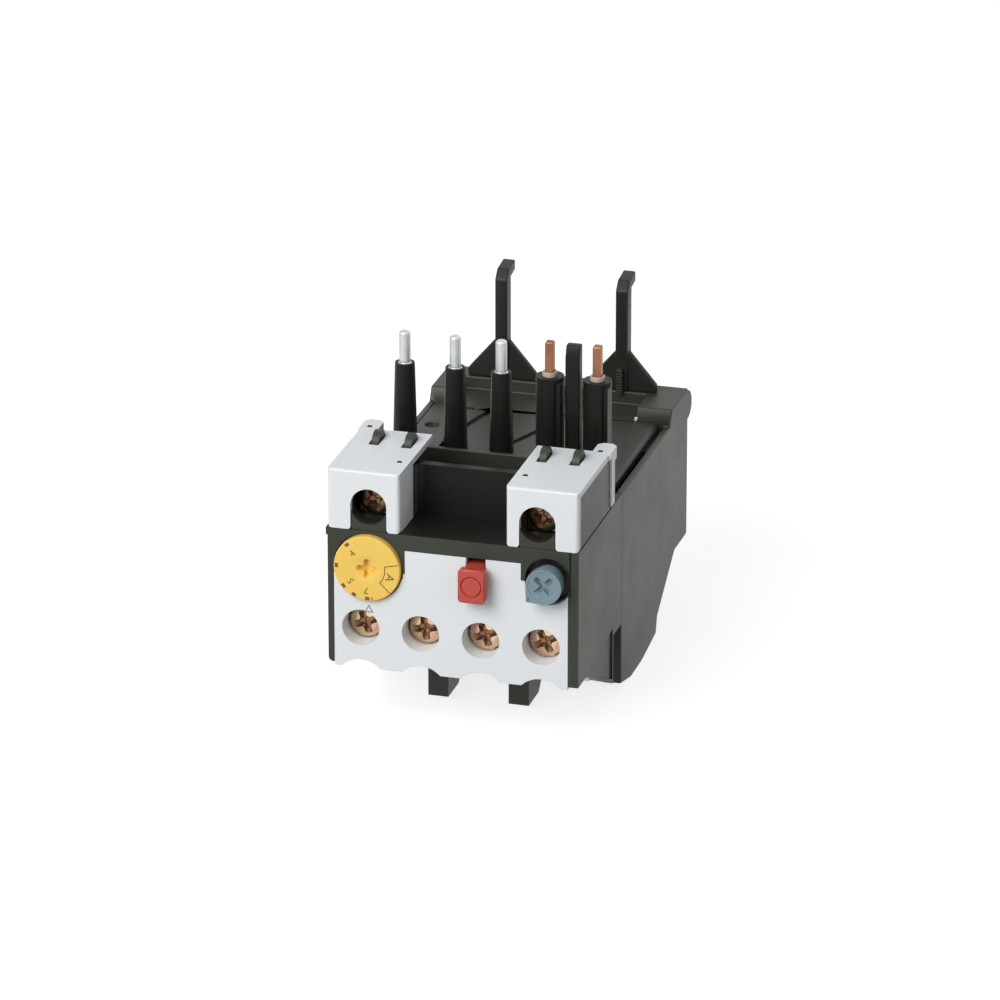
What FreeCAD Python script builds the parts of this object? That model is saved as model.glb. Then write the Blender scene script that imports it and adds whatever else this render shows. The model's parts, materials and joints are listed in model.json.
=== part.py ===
"""Thermal overload relay that plugs under a contactor.

Everything is drawn from the front lower edge of the white face plate: X to the right, Y back from
the plate, Z up.  Each finished piece is then placed so that the row's origin is at the middle of
the footprint, on the surface that the relay stands on.  Lengths are in millimetres.
"""
import FreeCAD, Part
import math
import os
import re
import Sketcher

SIZES = {
    # housing
    "body_width": (45.0, "over both side walls"),
    "wall": (1.2, "side walls"),
    "front_skin": (1.5, "front wall behind the face plate"),
    "seam_y": (28.8, "joint between the front and the rear housing"),
    "rear_y": (75.0, "rear face"),
    "block_bottom": (0.3, "underside of the front block"),
    "ledge_top": (25.4, "top of the front block"),
    "skirt_start_y": (5.5, "where the side skirt starts"),
    "skirt_knee_y": (14.5, "bend of the side skirt"),
    "skirt_knee_drop": (4.3, "skirt below the plate at its bend"),
    "skirt_end_y": (23.4, "rear end of the side skirt"),
    "skirt_drop": (8.4, "skirt below the plate at its end"),
    "slot_top": (0.5, "top of the slot between skirt and rear housing"),
    "panel_front_y": (8.0, "front corner of the shallow panel in the skirt"),
    "panel_front_z": (0.8, "front corner of that panel"),
    "panel_rear_z": (2.3, "upper rear corner of that panel"),
    "panel_rim": (0.5, "skirt's rim round the panel"),
    "panel_depth": (0.35, "panel"),
    "lug_overhang": (0.3, "nib and cover hook beyond the side wall"),
    "nib_height": (1.4, "nib at the top left of the front block"),
    "ledge_groove": (0.35, "groove between a tower and the side wall below it"),
    "frame_groove": (0.25, "upright groove in the frame beside the knob"),
    "frame_groove_deep": (0.5, "upright groove in the frame"),
    # barrier ribs between the main terminals
    "phase_inset": (7.8, "outer phases inside the sides of the housing"),
    "rib_width": (3.7, "barrier rib"),
    "rib_front_y": (16.0, "front of the ribs"),
    "rib_rear_y": (25.0, "back of the ribs"),
    "rib_drop": (11.2, "ribs below the plate"),
    "rib_nose": (2.5, "rounding at the ribs' lower rear end"),
    # rear housing
    "base_drop": (12.3, "lowest point below the plate"),
    "base_front_drop": (10.7, "front lower corner of the rear housing"),
    "base_flat_y": (36.0, "front end of the flat underside"),
    "base_flat_length": (12.0, "flat underside"),
    "base_heel_y": (53.9, "rear end of the underside"),
    "base_heel_drop": (11.5, "underside at the heel"),
    "heel_rise": (3.2, "upright edge at the heel"),
    "heel_lean": (1.0, "slope of that edge"),
    "back_slope_y": (66.6, "upper end of the sloping back"),
    "back_drop": (0.5, "lower edge of the rear face"),
    "back_bevel": (0.7, "bevel along the sides of the sloping back"),
    "floor_thick": (1.5, "floors of the rear housing"),
    "right_rim": (25.5, "top of the right side wall"),
    "deck_top": (26.0, "top of the deck and of the left side wall"),
    "rear_block_y": (63.4, "front of the rear block"),
    "block_lean": (1.2, "slope of the rear block's front"),
    "rear_block_top": (28.4, "top of the rear block"),
    "hook_shelf_y": (70.0, "front of the shelf that carries the hooks"),
    "shelf_left": (19.0, "left end of the recess in front of the hooks"),
    "shelf_right": (16.0, "right end of the recess in front of the hooks"),
    "bead_radius": (2.7, "bead along the top of the rear face"),
    "bead_z": (25.0, "height of the bead"),
    "bead_out": (3.0, "bead beyond the rear face"),
    "chamber_front_y": (37.0, "front of the three heater chambers"),
    "partition": (1.2, "walls between the heater chambers"),
    # deck and what stands on it
    "deck_thick": (1.8, "deck plate"),
    "deck_gap": (1.0, "groove between deck and right side wall"),
    "deck_front_y": (26.8, "front face of the deck's rim"),
    "rim_thick": (1.0, "rim at the front of the deck"),
    "rim_top": (31.3, "top of the rim"),
    "saddle_width": (2.1, "block beside the second sleeve"),
    "saddle_rear": (36.8, "rear end of that block"),
    "groove_width": (1.3, "grooves in the deck"),
    "groove_depth": (0.8, "grooves in the deck"),
    "deck_bevel": (0.5, "deck's right edge"),
    "rear_groove_x": (14.0, "front end of the rear groove, left of the middle"),
    "rear_groove_front": (48.5, "front end of the rear groove"),
    "rear_groove_rear": (61.2, "rear end of the rear groove"),
    "rear_groove_lean": (3.1, "rear groove's slant"),
    "front_groove_x": (3.6, "front end of the front groove, left of the middle"),
    "front_groove_front": (44.5, "front end of the front groove"),
    "front_groove_rear": (54.0, "rear end of the front groove"),
    "front_groove_lean": (3.9, "front groove's slant"),
    "deck_slot_x": (15.0, "slot at the rear of the deck, left of the middle"),
    "deck_slot_y": (60.6, "slot at the rear of the deck"),
    "deck_slot_long": (3.1, "slot at the rear of the deck"),
    "vent_x": (18.6, "vent in the deck, left of the middle"),
    "vent_y": (50.8, "vent in the deck"),
    "pin_row_y": (30.4, "row of the pins and coil wires"),
    "pin_left": (17.5, "first pin left of the middle"),
    "pin_pitch_left": (9.2, "first pin to second pin"),
    "pin_pitch_right": (8.4, "second pin to third pin"),
    "pin_radius": (1.0, "bare ends of the contact pins"),
    "pin_root": (1.2, "from a contact pin's axis to its flats below its bare end"),
    "pin_bevel": (0.3, "tip of a contact pin"),
    "pin_top": (51.2, "tips of the pins"),
    "pin_play": (0.05, "between a pin and its sleeve"),
    "sleeve_top": (45.4, "upper end of the pin sleeves"),
    "sleeve_top_radius": (1.7, "sleeve at its tip"),
    "sleeve_root_radius": (2.2, "sleeve at the deck"),
    "wire_pitch": (8.6, "between the two coil wires"),
    "wire_mid": (13.2, "middle between the coil wires"),
    "wire_width": (1.5, "coil wire"),
    "wire_tail": (3.0, "coil wire below the deck"),
    "wire_bevel": (0.2, "tip of a coil wire"),
    "wire_top": (52.0, "upper end of the coil wires"),
    "wire_sleeve_radius": (2.5, "sleeve round a coil wire"),
    "wire_sleeve_top": (45.6, "top of the coil wire sleeves"),
    "fin_width": (0.7, "fin beside a coil wire sleeve"),
    "collar_radius": (1.35, "insulating collar at the foot of a bare wire"),
    "collar_height": (0.8, "bare part of the collar"),
    "finger_width": (2.6, "locating finger"),
    "finger_depth": (2.2, "locating finger"),
    "finger_top": (51.7, "top of the locating finger"),
    # hooks
    "hook_pitch": (22.52, "between the two hooks"),
    "hook_width": (2.3, "hook"),
    "hook_depth": (2.9, "hook's stem, front to back"),
    "hook_height": (49.7, "top of the hooks"),
    "hook_reach": (5.6, "hook's nose behind its stem's front"),
    "hook_nose": (2.0, "thickness of the hook's nose"),
    "hook_slope": (0.5, "slope of the hook's top"),
    "hook_shoulder": (0.2, "front shoulder of the hook below its nose"),
    "hook_throat": (0.4, "rear of the stem below the nose"),
    "gusset_top": (36.0, "top of the hook's gusset"),
    "gusset_half": (6.4, "half the width of the gusset's foot"),
    "gusset_thick": (1.3, "gusset plate"),
    "gusset_set_back": (0.6, "gusset behind the stem's front"),
    "gusset_foot": (1.4, "upright edge at the gusset's foot"),
    # face plate
    "plate_left": (21.4, "left edge of the face plate"),
    "plate_right": (20.6, "right edge of the face plate"),
    "plate_top": (22.4, "upper edge of the face plate"),
    "plate_dip": (0.3, "points between the scallops below the plate's lower edge"),
    "plate_thick": (1.4, "face plate"),
    "plate_step_left": (8.6, "where the upper edge starts beside the dial"),
    "plate_step_right": (12.2, "where the upper edge ends beside the reset knob"),
    "plate_shoulder": (17.2, "plate's height beside the dial and the knob"),
    "plate_gap": (0.05, "between the face plate and its seat"),
    "plate_seat_out": (1.0, "the seat runs out below the plate's points"),
    "plate_clear": (0.3, "plate round the knob's well"),
    "plate_collar": (0.7, "wall of the collars behind the plate's screwdriver holes"),
    "plate_collar_deep": (1.2, "collars behind the plate"),
    "scallop_half": (3.5, "half the width of a scallop"),
    "scallop_rise": (1.5, "depth of a scallop"),
    # auxiliary terminals in the face plate
    "aux_pitch": (10.81, "between the auxiliary screws"),
    "aux_shift": (0.415, "row of auxiliary screws left of the middle"),
    "aux_z": (7.17, "height of the auxiliary screws"),
    "aux_hole": (3.35, "radius of the screwdriver holes"),
    "aux_bay_width": (9.4, "auxiliary terminal bay"),
    "aux_bay_rear": (14.0, "back of the auxiliary bays"),
    # screws of the auxiliary and coil terminals
    "screw_head": (3.0, "radius of a screw head"),
    "screw_head_thick": (2.0, "screw head"),
    "screw_set_back": (2.8, "screw head behind the front face"),
    "shank": (1.7, "radius of a screw shank"),
    "shank_length": (6.6, "screw shank"),
    "drive_depth": (0.9, "cross recess"),
    "drive_width": (0.8, "cross recess"),
    "drive_length": (3.4, "cross recess"),
    "washer_side": (6.6, "square clamp washer"),
    "washer_thick": (1.0, "clamp washer"),
    "nut_plate_thick": (1.6, "tapped terminal plate"),
    "wire_gap": (1.4, "room for a wire between washer and terminal plate"),
    # main terminals
    "clamp_room": (1.1, "between a box clamp and a rib"),
    "clamp_depth": (8.4, "box clamp"),
    "clamp_height": (8.0, "box clamp"),
    "clamp_front_y": (19.8, "front of the box clamps"),
    "clamp_sheet": (1.2, "box clamp's metal"),
    "clamp_z": (2.9, "middle of the box clamps below the plate"),
    "main_screw_head": (2.9, "radius of a main terminal screw"),
    "main_screw_long": (2.2, "main terminal screw's head"),
    "bay_top": (2.6, "top of the main terminal bays"),
    # covers over the coil terminals
    "cover_inner": (9.5, "inner side of the covers"),
    "cover_wall": (1.1, "cover's wall"),
    "cover_top": (36.3, "top of the covers"),
    "cover_rear_y": (20.3, "rear edge of the covers"),
    "cover_side_length": (8.3, "inner side wall of the covers"),
    "cover_ear_rear": (24.6, "rear end of the cover's ear"),
    "cover_ear_width": (3.4, "cover's ear"),
    "cover_ear_thick": (2.2, "cover's ear"),
    "cover_ear_corner": (0.9, "cut corners of the cover's ear"),
    "cover_leg_bottom": (26.2, "lower end of the cover's leg"),
    "cover_leg_width": (1.0, "cover's leg"),
    "cover_leg_front": (20.4, "front of the cover's leg"),
    "cover_leg_rear": (22.6, "back of the cover's leg"),
    "cover_round": (0.5, "front upper edge of the covers"),
    "arch_half": (3.25, "half the width of the cover's arch"),
    "arch_top": (33.1, "top of the cover's arch"),
    "coil_x": (15.1, "coil terminal screws from the middle"),
    "coil_z": (29.85, "height of the coil terminal screws"),
    "coil_hole": (3.3, "radius of the holes in front of the coil screws"),
    "boss_play": (0.15, "between a cover's arch and the tower's boss inside it"),
    "tower_skin": (1.6, "tower's front wall"),
    "tower_bay_rear": (13.2, "back of the tower's terminal bay"),
    "tower_floor": (1.0, "tower's floor over the ledge"),
    "tongue_y": (16.0, "middle of the tongues that pass through the covers"),
    "tongue_radius": (2.1, "tongue"),
    "tongue_rise": (1.5, "tongue above the cover"),
    "tongue_width": (1.3, "tongue"),
    "tongue_pitch": (5.9, "between the two tongues of a tower"),
    "tongue_mid": (15.1, "middle of the two tongues"),
    "tongue_slot_width": (1.9, "slot for a tongue"),
    "tongue_slot_length": (6.5, "slot for a tongue"),
    # wall between the towers
    "apron_y": (11.0, "front of the wall between the towers"),
    "apron_thick": (1.6, "wall between the towers"),
    "apron_top": (34.4, "top of the wall between the towers"),
    "apron_round": (2.6, "rounding where that wall meets the towers"),
    # mechanism chamber behind the front wall
    "mech_bottom": (13.0, "floor of the mechanism chamber"),
    "mech_roof": (1.5, "roof of the mechanism chamber"),
    # setting dial
    "dial_x": (15.2, "dial left of the middle"),
    "dial_z": (18.7, "height of the dial"),
    "dial_radius": (6.0, "dial"),
    "dial_proud": (1.0, "dial in front of the plate"),
    "dial_thick": (2.6, "dial disc"),
    "dial_bevel": (0.25, "edge of the dial"),
    "dial_play": (0.25, "round the dial's disc"),
    "dial_slot": (1.3, "cross recess of the dial"),
    "dial_slot_long": (3.7, "cross recess of the dial"),
    "dial_shaft": (2.4, "radius of the dial's shaft"),
    "shaft_play": (0.06, "round a turning shaft"),
    "cam_radius": (3.0, "cam on the dial's shaft"),
    "cam_throw": (0.7, "cam's eccentricity"),
    "cam_y": (8.0, "front of the cam"),
    "cam_thick": (3.0, "cam"),
    # stop button
    "stop_x": (4.15, "stop button right of the middle"),
    "stop_z": (18.3, "height of the stop button"),
    "stop_width": (4.9, "stop button's cap"),
    "stop_tall": (6.3, "stop button's cap"),
    "stop_proud": (3.0, "stop button in front of the plate"),
    "stop_rest": (0.2, "between the pressed cap and the face plate"),
    "stem_width": (3.2, "stop button's stem"),
    "stem_low": (16.4, "underside of the stop button's stem"),
    "stop_round": (0.35, "front edges of the stop button"),
    "stem_high": (21.7, "top of the stop button's stem"),
    "stem_length": (9.0, "stop button's stem"),
    "stem_play": (0.15, "round the stop button's stem"),
    "stop_stroke": (1.2, "stop button's travel"),
    # reset knob
    "reset_x": (17.0, "reset knob right of the middle"),
    "reset_z": (19.7, "height of the reset knob"),
    "reset_radius": (3.25, "reset knob"),
    "reset_proud": (3.0, "reset knob in front of the plate"),
    "reset_long": (3.8, "reset knob"),
    "reset_well": (4.1, "radius of the well round the reset knob"),
    "reset_well_depth": (2.6, "depth of that well"),
    "pointer_reach": (1.1, "knob's pointer beyond its rim"),
    "knob_slot": (0.9, "cross recess of the knob"),
    "knob_slot_long": (4.0, "cross recess of the knob"),
    "knob_slot_deep": (1.1, "cross recess of the knob"),
    "plunger_radius": (1.5, "reset plunger"),
    "plunger_play": (0.06, "round the reset plunger"),
    "plunger_length": (9.0, "reset plunger behind the knob"),
    "journal_radius": (0.9, "journal that the knob turns on"),
    "journal_length": (2.2, "journal that the knob turns on"),
    "journal_gap": (0.2, "behind the end of the journal"),
    "reset_stroke": (1.4, "reset knob's travel"),
    # springs
    "spring_wire": (0.35, "thickness of the spring wire"),
    "spring_turns": (4.0, "spring"),
    "stop_spring_radius": (1.2, "stop button's spring"),
    "reset_spring_radius": (1.1, "reset plunger's spring"),
    "spring_seat": (0.25, "between a spring and what it bears on"),
    # bimetals and heaters
    "strip_inset": (6.7, "middle of the bimetal strips before the chambers' rear wall"),
    "strip_width": (6.0, "bimetal strip"),
    "strip_thick": (0.9, "bimetal strip"),
    "strip_top": (21.5, "tip of the strips"),
    "heater_turns": (6.0, "heater winding"),
    "heater_pitch": (2.25, "heater winding"),
    "heater_ribbon": (1.6, "heater ribbon's height"),
    "heater_wall": (0.7, "heater ribbon's thickness"),
    "heater_play": (0.3, "between the strip and its heater"),
    "core_wall": (0.8, "insulating core of the heater"),
    "post_height": (3.4, "foot block of a bimetal"),
    "post_depth": (8.0, "foot block of a bimetal"),
    "post_width": (5.0, "foot block of a bimetal"),
    "bar_room": (0.7, "between a terminal bar and the clamp's sides"),
    "bar_thick": (1.2, "terminal bar"),
    "lead_thick": (1.2, "conductor under a pin"),
    "lead_low": (10.9, "lowest conductor's height"),
    "lead_step": (1.8, "between the conductors' heights"),
    # trip mechanism
    "slide_depth": (3.0, "trip slide"),
    "slide_thick": (1.2, "trip slide"),
    "slide_z": (19.6, "trip slide's underside"),
    "slide_gap": (0.4, "between the two slides, and round them"),
    "slide_room": (2.7, "between the slides' left ends and the side wall"),
    "slide_stroke": (1.5, "trip slide's travel"),
    "lever_inset": (4.1, "trip lever's pivot inside the side of the housing"),
    "lever_gap": (0.6, "between the trip slide and the lever"),
    "lever_y": (33.0, "trip lever's pivot"),
    "lever_thick": (1.2, "trip lever"),
    "lever_arm": (1.6, "width of the trip lever's arms"),
    "lever_hub": (2.0, "trip lever's hub"),
    "lever_pin": (0.9, "radius of the trip lever's pin"),
    "lever_front_y": (17.6, "front end of the trip lever"),
    "lever_play": (0.05, "round the trip lever's pin"),
    "window_side": (1.0, "room round what passes through a wall"),
    # auxiliary contacts
    "contact_y": (19.0, "first contact spring"),
    "contact_gap": (2.4, "between the contact springs"),
    "contact_thick": (0.6, "contact springs"),
    "contact_wide": (3.0, "contact springs"),
    "contact_left": (9.0, "fixed ends of the contact springs"),
    "contact_right": (13.4, "free ends of the contact springs"),
    "block_width": (5.0, "contact block"),
    "block_height": (8.0, "contact block"),
    "bracket_y": (14.4, "front of the spring bracket"),
    "bracket_thick": (0.8, "spring bracket"),
    "bracket_foot": (3.0, "foot of the spring bracket"),
}

# lengths that follow from the sizes above
DERIVED = {
    "rib_pitch": "body_width/2-phase_inset",
    "clamp_width": "rib_pitch-rib_width-2*clamp_room",
    "bar_width": "clamp_width-2*clamp_sheet-2*bar_room",
    "strip_y": "base_heel_y-wall-strip_inset",
    "slide_front": "strip_y-strip_width/2-slide_gap-slide_depth",
    "slide_left": "body_width/2-wall-slide_room",
    "slide_right": "lever_x-lever_arm/2-lever_gap",
    "lever_x": "body_width/2-lever_inset",
    "stop_cap": "stop_proud-stop_stroke-stop_rest",
    "heater_low": "post_height+bar_thick/2-clamp_z",
    "deck_under": "deck_top-deck_thick",
    "chamber_top": "deck_top-deck_thick-mech_roof",
    "deck_rear_y": "rear_block_y-block_lean",
}

doc = FreeCAD.newDocument("OverloadRelay")
sheet = doc.addObject("Spreadsheet::Sheet", "Sizes")
for row, (alias, (size, meaning)) in enumerate(SIZES.items(), start=1):
    sheet.set("A%d" % row, meaning)
    sheet.set("B%d" % row, str(size))
    sheet.setAlias("B%d" % row, alias)
doc.recompute()

PIECES = []
STARTS = {}
ALONG_X = FreeCAD.Vector(1, 0, 0)
SPRING_SIDES = 6
SPRING_STEPS = 12
FLATS = 12
HEAD_FLATS = 20
EDGE_SLACK = 0.02
SIDES = (-1, 1)
PHASES = (-1, 0, 1)
PLANE_NORMAL_FORWARD = {"XY_Plane": True, "YZ_Plane": True, "XZ_Plane": False}


def spelled(formula):
    """Write out the derived lengths of a formula."""
    def whole(word):
        name = word.group(0)
        return "(%s)" % spelled(DERIVED[name]) if name in DERIVED else name
    return re.sub(r"[a-z][a-z_]*", whole, formula)


def bound(formula):
    """Turn plain alias names into references to the sheet."""
    def reference(word):
        name = word.group(0)
        return "Sizes." + name if name in SIZES else name
    return re.sub(r"[a-z][a-z_]*", reference, spelled(formula))


def value(formula):
    """A formula's present value."""
    return float(sheet.evalExpression(spelled(formula)))


def set_formula(target, path, formula):
    target.setExpression(path, bound(formula))


def drawn(sketch, kind, vertex, formula):
    """Fix one coordinate of a vertex, tied to the sheet where it names a size."""
    geometry, point = vertex
    index = sketch.addConstraint(Sketcher.Constraint(kind, -1, 1, geometry, point, value(formula)))
    if bound(formula) != formula:
        set_formula(sketch, "Constraints[%d]" % index, formula)


def outline(*points):
    """A closed run of straight lines through the given pairs of formulas."""
    def draw(sketch):
        first = sketch.GeometryCount
        spots = [FreeCAD.Vector(value(across), value(up), 0) for across, up in points]
        count = len(points)
        for k in range(count):
            sketch.addGeometry(Part.LineSegment(spots[k], spots[(k + 1) % count]))
        for k in range(count):
            after = first + (k + 1) % count
            sketch.addConstraint(Sketcher.Constraint("Coincident", first + k, 2, after, 1))
        for k, (across, up) in enumerate(points):
            drawn(sketch, "DistanceX", (first + k, 1), across)
            drawn(sketch, "DistanceY", (first + k, 1), up)
    return draw


def rectangle(left, low, right, high):
    return outline((left, low), (right, low), (right, high), (left, high))


def centred(across, up, width, height):
    """A rectangle round a centre."""
    return rectangle("%s-(%s)/2" % (across, width), "%s-(%s)/2" % (up, height),
                     "%s+(%s)/2" % (across, width), "%s+(%s)/2" % (up, height))


def disc(across, up, radius):
    def draw(sketch):
        centre = FreeCAD.Vector(value(across), value(up), 0)
        circle = sketch.addGeometry(Part.Circle(centre, FreeCAD.Vector(0, 0, 1), value(radius)))
        drawn(sketch, "DistanceX", (circle, 3), across)
        drawn(sketch, "DistanceY", (circle, 3), up)
        index = sketch.addConstraint(Sketcher.Constraint("Radius", circle, value(radius)))
        if bound(radius) != radius:
            set_formula(sketch, "Constraints[%d]" % index, radius)
    return draw


def many_sided(across, up, radius, flats=FLATS):
    """A nearly round loop for small parts that repeat; `radius` is the distance of its flats."""
    corners = []
    for corner in range(flats):
        turn = 2 * math.pi * (corner + 0.5) / flats
        reach = 1 / math.cos(math.pi / flats)
        corners.append(("%s+(%.6f)*(%s)" % (across, reach * math.cos(turn), radius),
                        "%s+(%.6f)*(%s)" % (up, reach * math.sin(turn), radius)))
    return outline(*corners)


class Piece:
    """A PartDesign body that is built up by prisms along the axes."""

    def __init__(self, label):
        self.label = label
        self.body = doc.addObject("PartDesign::Body", label)
        self.body.Label = label
        self.body.AllowCompound = True
        self.steps = 0
        PIECES.append(self.body)

    def sketch(self, plane, at, loops):
        """Loops drawn on an origin plane moved to the formula `at` along its axis."""
        self.steps += 1
        sketch = self.body.newObject("Sketcher::SketchObject", "%s_s%d" % (self.label, self.steps))
        support = next(f for f in self.body.Origin.OriginFeatures if f.Role == plane)
        sketch.AttachmentSupport = [(support, "")]
        sketch.MapMode = "FlatFace"
        sign = "" if PLANE_NORMAL_FORWARD[plane] else "-"
        set_formula(sketch, "AttachmentOffset.Base.z", "%s(%s)" % (sign, at))
        for draw in loops:
            draw(sketch)
        return sketch

    def prism(self, kind, plane, at, depth, loops):
        sketch = self.sketch(plane, at, loops)
        feature = self.body.newObject(kind, "%s_f%d" % (self.label, self.steps))
        feature.Profile = sketch
        set_formula(feature, "Length", depth)
        forward = PLANE_NORMAL_FORWARD[plane]
        feature.Reversed = (not forward) if kind == "PartDesign::Pad" else forward
        return feature

    def add(self, plane, at, depth, *loops):
        """Material from `at` to `at` + `depth` along the plane's axis."""
        return self.prism("PartDesign::Pad", plane, at, depth, loops)

    def cut(self, plane, at, depth, *loops):
        """A hollow from `at` to `at` + `depth`, which has to take something away."""
        doc.recompute()
        before = self.body.Shape.Volume
        feature = self.prism("PartDesign::Pocket", plane, at, depth, loops)
        doc.recompute()
        if not self.body.Shape.Volume < before:
            raise ValueError("%s: %s cuts nothing" % (self.label, feature.Name))
        return feature

    def tapered(self, low, height, narrowing, loop):
        """An upright prism whose sides lean inwards by `narrowing` over its height."""
        feature = self.add("XY_Plane", low, height, loop)
        set_formula(feature, "TaperAngle", "-atan((%s)/(%s))" % (narrowing, height))
        return feature

    def dress(self, kind, size_name, formula, wanted):
        """Round or bevel the edges that `wanted` picks."""
        doc.recompute()
        base = self.body.Tip
        names = []
        for index, edge in enumerate(base.Shape.Edges, start=1):
            if wanted(edge):
                names.append("Edge%d" % index)
        if not names:
            raise ValueError("%s: no edge to dress" % self.label)
        self.steps += 1
        feature = self.body.newObject(kind, "%s_f%d" % (self.label, self.steps))
        feature.Base = (base, names)
        set_formula(feature, size_name, formula)
        doc.recompute()
        return feature

    def fillet(self, radius, wanted):
        return self.dress("PartDesign::Fillet", "Radius", radius, wanted)

    def chamfer(self, size, wanted):
        return self.dress("PartDesign::Chamfer", "Size", size, wanted)


def near(number, formula):
    return abs(number - value(formula)) < EDGE_SLACK


def flat_at(axis, *formulas):
    """Edges that lie wholly at one of the given places along an axis."""
    def test(edge):
        box = edge.BoundBox
        low, high = getattr(box, axis + "Min"), getattr(box, axis + "Max")
        return any(near(low, f) and near(high, f) for f in formulas)
    return test


def beyond(axis, formula):
    """Edges that lie past a place along an axis."""
    return lambda edge: getattr(edge.BoundBox, axis + "Min") > value(formula) - EDGE_SLACK


def below(axis, formula):
    """Edges that lie before a place along an axis."""
    return lambda edge: getattr(edge.BoundBox, axis + "Max") < value(formula) + EDGE_SLACK


def both(*tests):
    return lambda edge: all(test(edge) for test in tests)


def aux_x(number):
    """Place of an auxiliary screw, counted from 0 on the left."""
    return "(%g)*aux_pitch-aux_shift" % (number - 1.5)


def phase_x(phase):
    return "(%d)*rib_pitch" % phase


def pin_x(number):
    return ("-pin_left", "pin_pitch_left-pin_left",
            "pin_pitch_left+pin_pitch_right-pin_left")[number]


def wire_x(side):
    return "wire_mid+(%d)*wire_pitch/2" % side


def mirrored(side, near_middle, far_out, low, high):
    """A rectangle on one side of the middle, between two distances from it."""
    if side < 0:
        return rectangle("-(%s)" % far_out, low, "-(%s)" % near_middle, high)
    return rectangle(near_middle, low, far_out, high)


# ---------------------------------------------------------------- housings


def front_housing():
    p = Piece("front_housing")
    p.add("XY_Plane", "block_bottom", "ledge_top-block_bottom",
          rectangle("-body_width/2", "0", "body_width/2", "seam_y"))
    for start in ("-body_width/2", "body_width/2-wall"):
        p.add("YZ_Plane", start, "wall",
              outline(("skirt_start_y", "block_bottom+slot_top"), ("skirt_start_y", "block_bottom"),
                      ("skirt_knee_y", "-skirt_knee_drop"), ("skirt_end_y", "-skirt_drop"),
                      ("skirt_end_y", "block_bottom+slot_top")))
    for side in SIDES:
        middle = "(%d)*rib_pitch/2" % side
        p.add("YZ_Plane", middle + "-rib_width/2", "rib_width",
              outline(("rib_front_y", "bay_top"), ("rib_front_y", "-rib_drop"),
                      ("rib_rear_y-rib_nose", "-rib_drop"), ("rib_rear_y", "-rib_drop+rib_nose"),
                      ("rib_rear_y", "bay_top")))
        p.add("XY_Plane", "ledge_top", "cover_top-cover_wall-ledge_top",
              mirrored(side, "cover_inner+cover_wall", "body_width/2", "cover_wall", "cover_rear_y"))
        for tongue in SIDES:
            place = "(%d)*tongue_mid+(%d)*tongue_pitch/2" % (side, tongue)
            p.add("YZ_Plane", place + "-tongue_width/2", "tongue_width",
                  many_sided("tongue_y", "cover_top+tongue_rise-tongue_radius", "tongue_radius"))
        # boss that fills the foot of the cover's arch
        p.add("XZ_Plane", "boss_play", "cover_wall-boss_play",
              centred("(%d)*coil_x" % side, "(ledge_top+coil_z)/2", "2*arch_half-2*boss_play",
                      "coil_z-ledge_top"))
    p.add("XY_Plane", "ledge_top", "apron_top-ledge_top",
          rectangle("-(cover_inner+cover_wall)", "apron_y", "cover_inner+cover_wall",
                    "apron_y+apron_thick"))
    p.add("YZ_Plane", "-body_width/2-lug_overhang", "lug_overhang",
          rectangle("0", "ledge_top-nib_height", "3*nib_height", "ledge_top"))
    # step for the deck's rim
    p.cut("XY_Plane", "deck_under", "ledge_top-deck_under",
          rectangle("-body_width/2+wall", "deck_front_y", "body_width/2-wall", "seam_y"))
    # gap between skirt and rear housing
    p.cut("XY_Plane", "block_bottom", "slot_top",
          rectangle("-body_width/2", "skirt_end_y", "-body_width/2+wall", "seam_y"),
          rectangle("body_width/2-wall", "skirt_end_y", "body_width/2", "seam_y"))
    # shallow panels in the skirt
    for start in ("-body_width/2", "body_width/2-panel_depth"):
        p.cut("YZ_Plane", start, "panel_depth",
              outline(("panel_front_y", "panel_front_z"), ("skirt_knee_y", "panel_rim-skirt_knee_drop"),
                      ("skirt_end_y-panel_rim", "2*panel_rim-skirt_drop"),
                      ("skirt_end_y-panel_rim", "panel_rear_z")))
    # grooves below the towers and beside the knob
    p.cut("XY_Plane", "ledge_top", "ledge_groove",
          *[mirrored(side, "body_width/2-ledge_groove", "body_width/2", "cover_wall", "cover_rear_y")
            for side in SIDES])
    p.cut("XZ_Plane", "0", "frame_groove_deep",
          rectangle("plate_right+frame_groove", "plate_shoulder", "plate_right+2*frame_groove",
                    "ledge_top"))
    # auxiliary terminal bays, open below
    p.cut("XY_Plane", "block_bottom", "aux_z+washer_side/2+pin_play-block_bottom",
          *[centred(aux_x(n), "(front_skin+aux_bay_rear)/2", "aux_bay_width",
                    "aux_bay_rear-front_skin") for n in range(4)])
    # main terminal bays
    p.cut("XY_Plane", "block_bottom", "bay_top-block_bottom",
          rectangle("-body_width/2+wall", "aux_bay_rear+wall", "-(rib_pitch+rib_width)/2", "seam_y"),
          rectangle("-(rib_pitch-rib_width)/2", "aux_bay_rear+wall", "(rib_pitch-rib_width)/2",
                    "seam_y"),
          rectangle("(rib_pitch+rib_width)/2", "aux_bay_rear+wall", "body_width/2-wall", "seam_y"))
    # chamber of the mechanism, open to the rear housing
    p.cut("XZ_Plane", "plate_thick+front_skin+reset_well_depth",
          "seam_y-plate_thick-front_skin-reset_well_depth",
          rectangle("-body_width/2+wall", "mech_bottom", "body_width/2-wall",
                    "chamber_top"))
    # terminal bays in the towers, closed by the covers
    p.cut("XY_Plane", "ledge_top+tower_floor", "cover_top-cover_wall-ledge_top-tower_floor",
          *[mirrored(side, "cover_inner+2*cover_wall", "body_width/2-wall",
                     "cover_wall+tower_skin", "tower_bay_rear") for side in SIDES])
    p.cut("XZ_Plane", "0", "cover_wall+tower_skin",
          *[disc("(%d)*coil_x" % side, "coil_z", "coil_hole") for side in SIDES])
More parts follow.
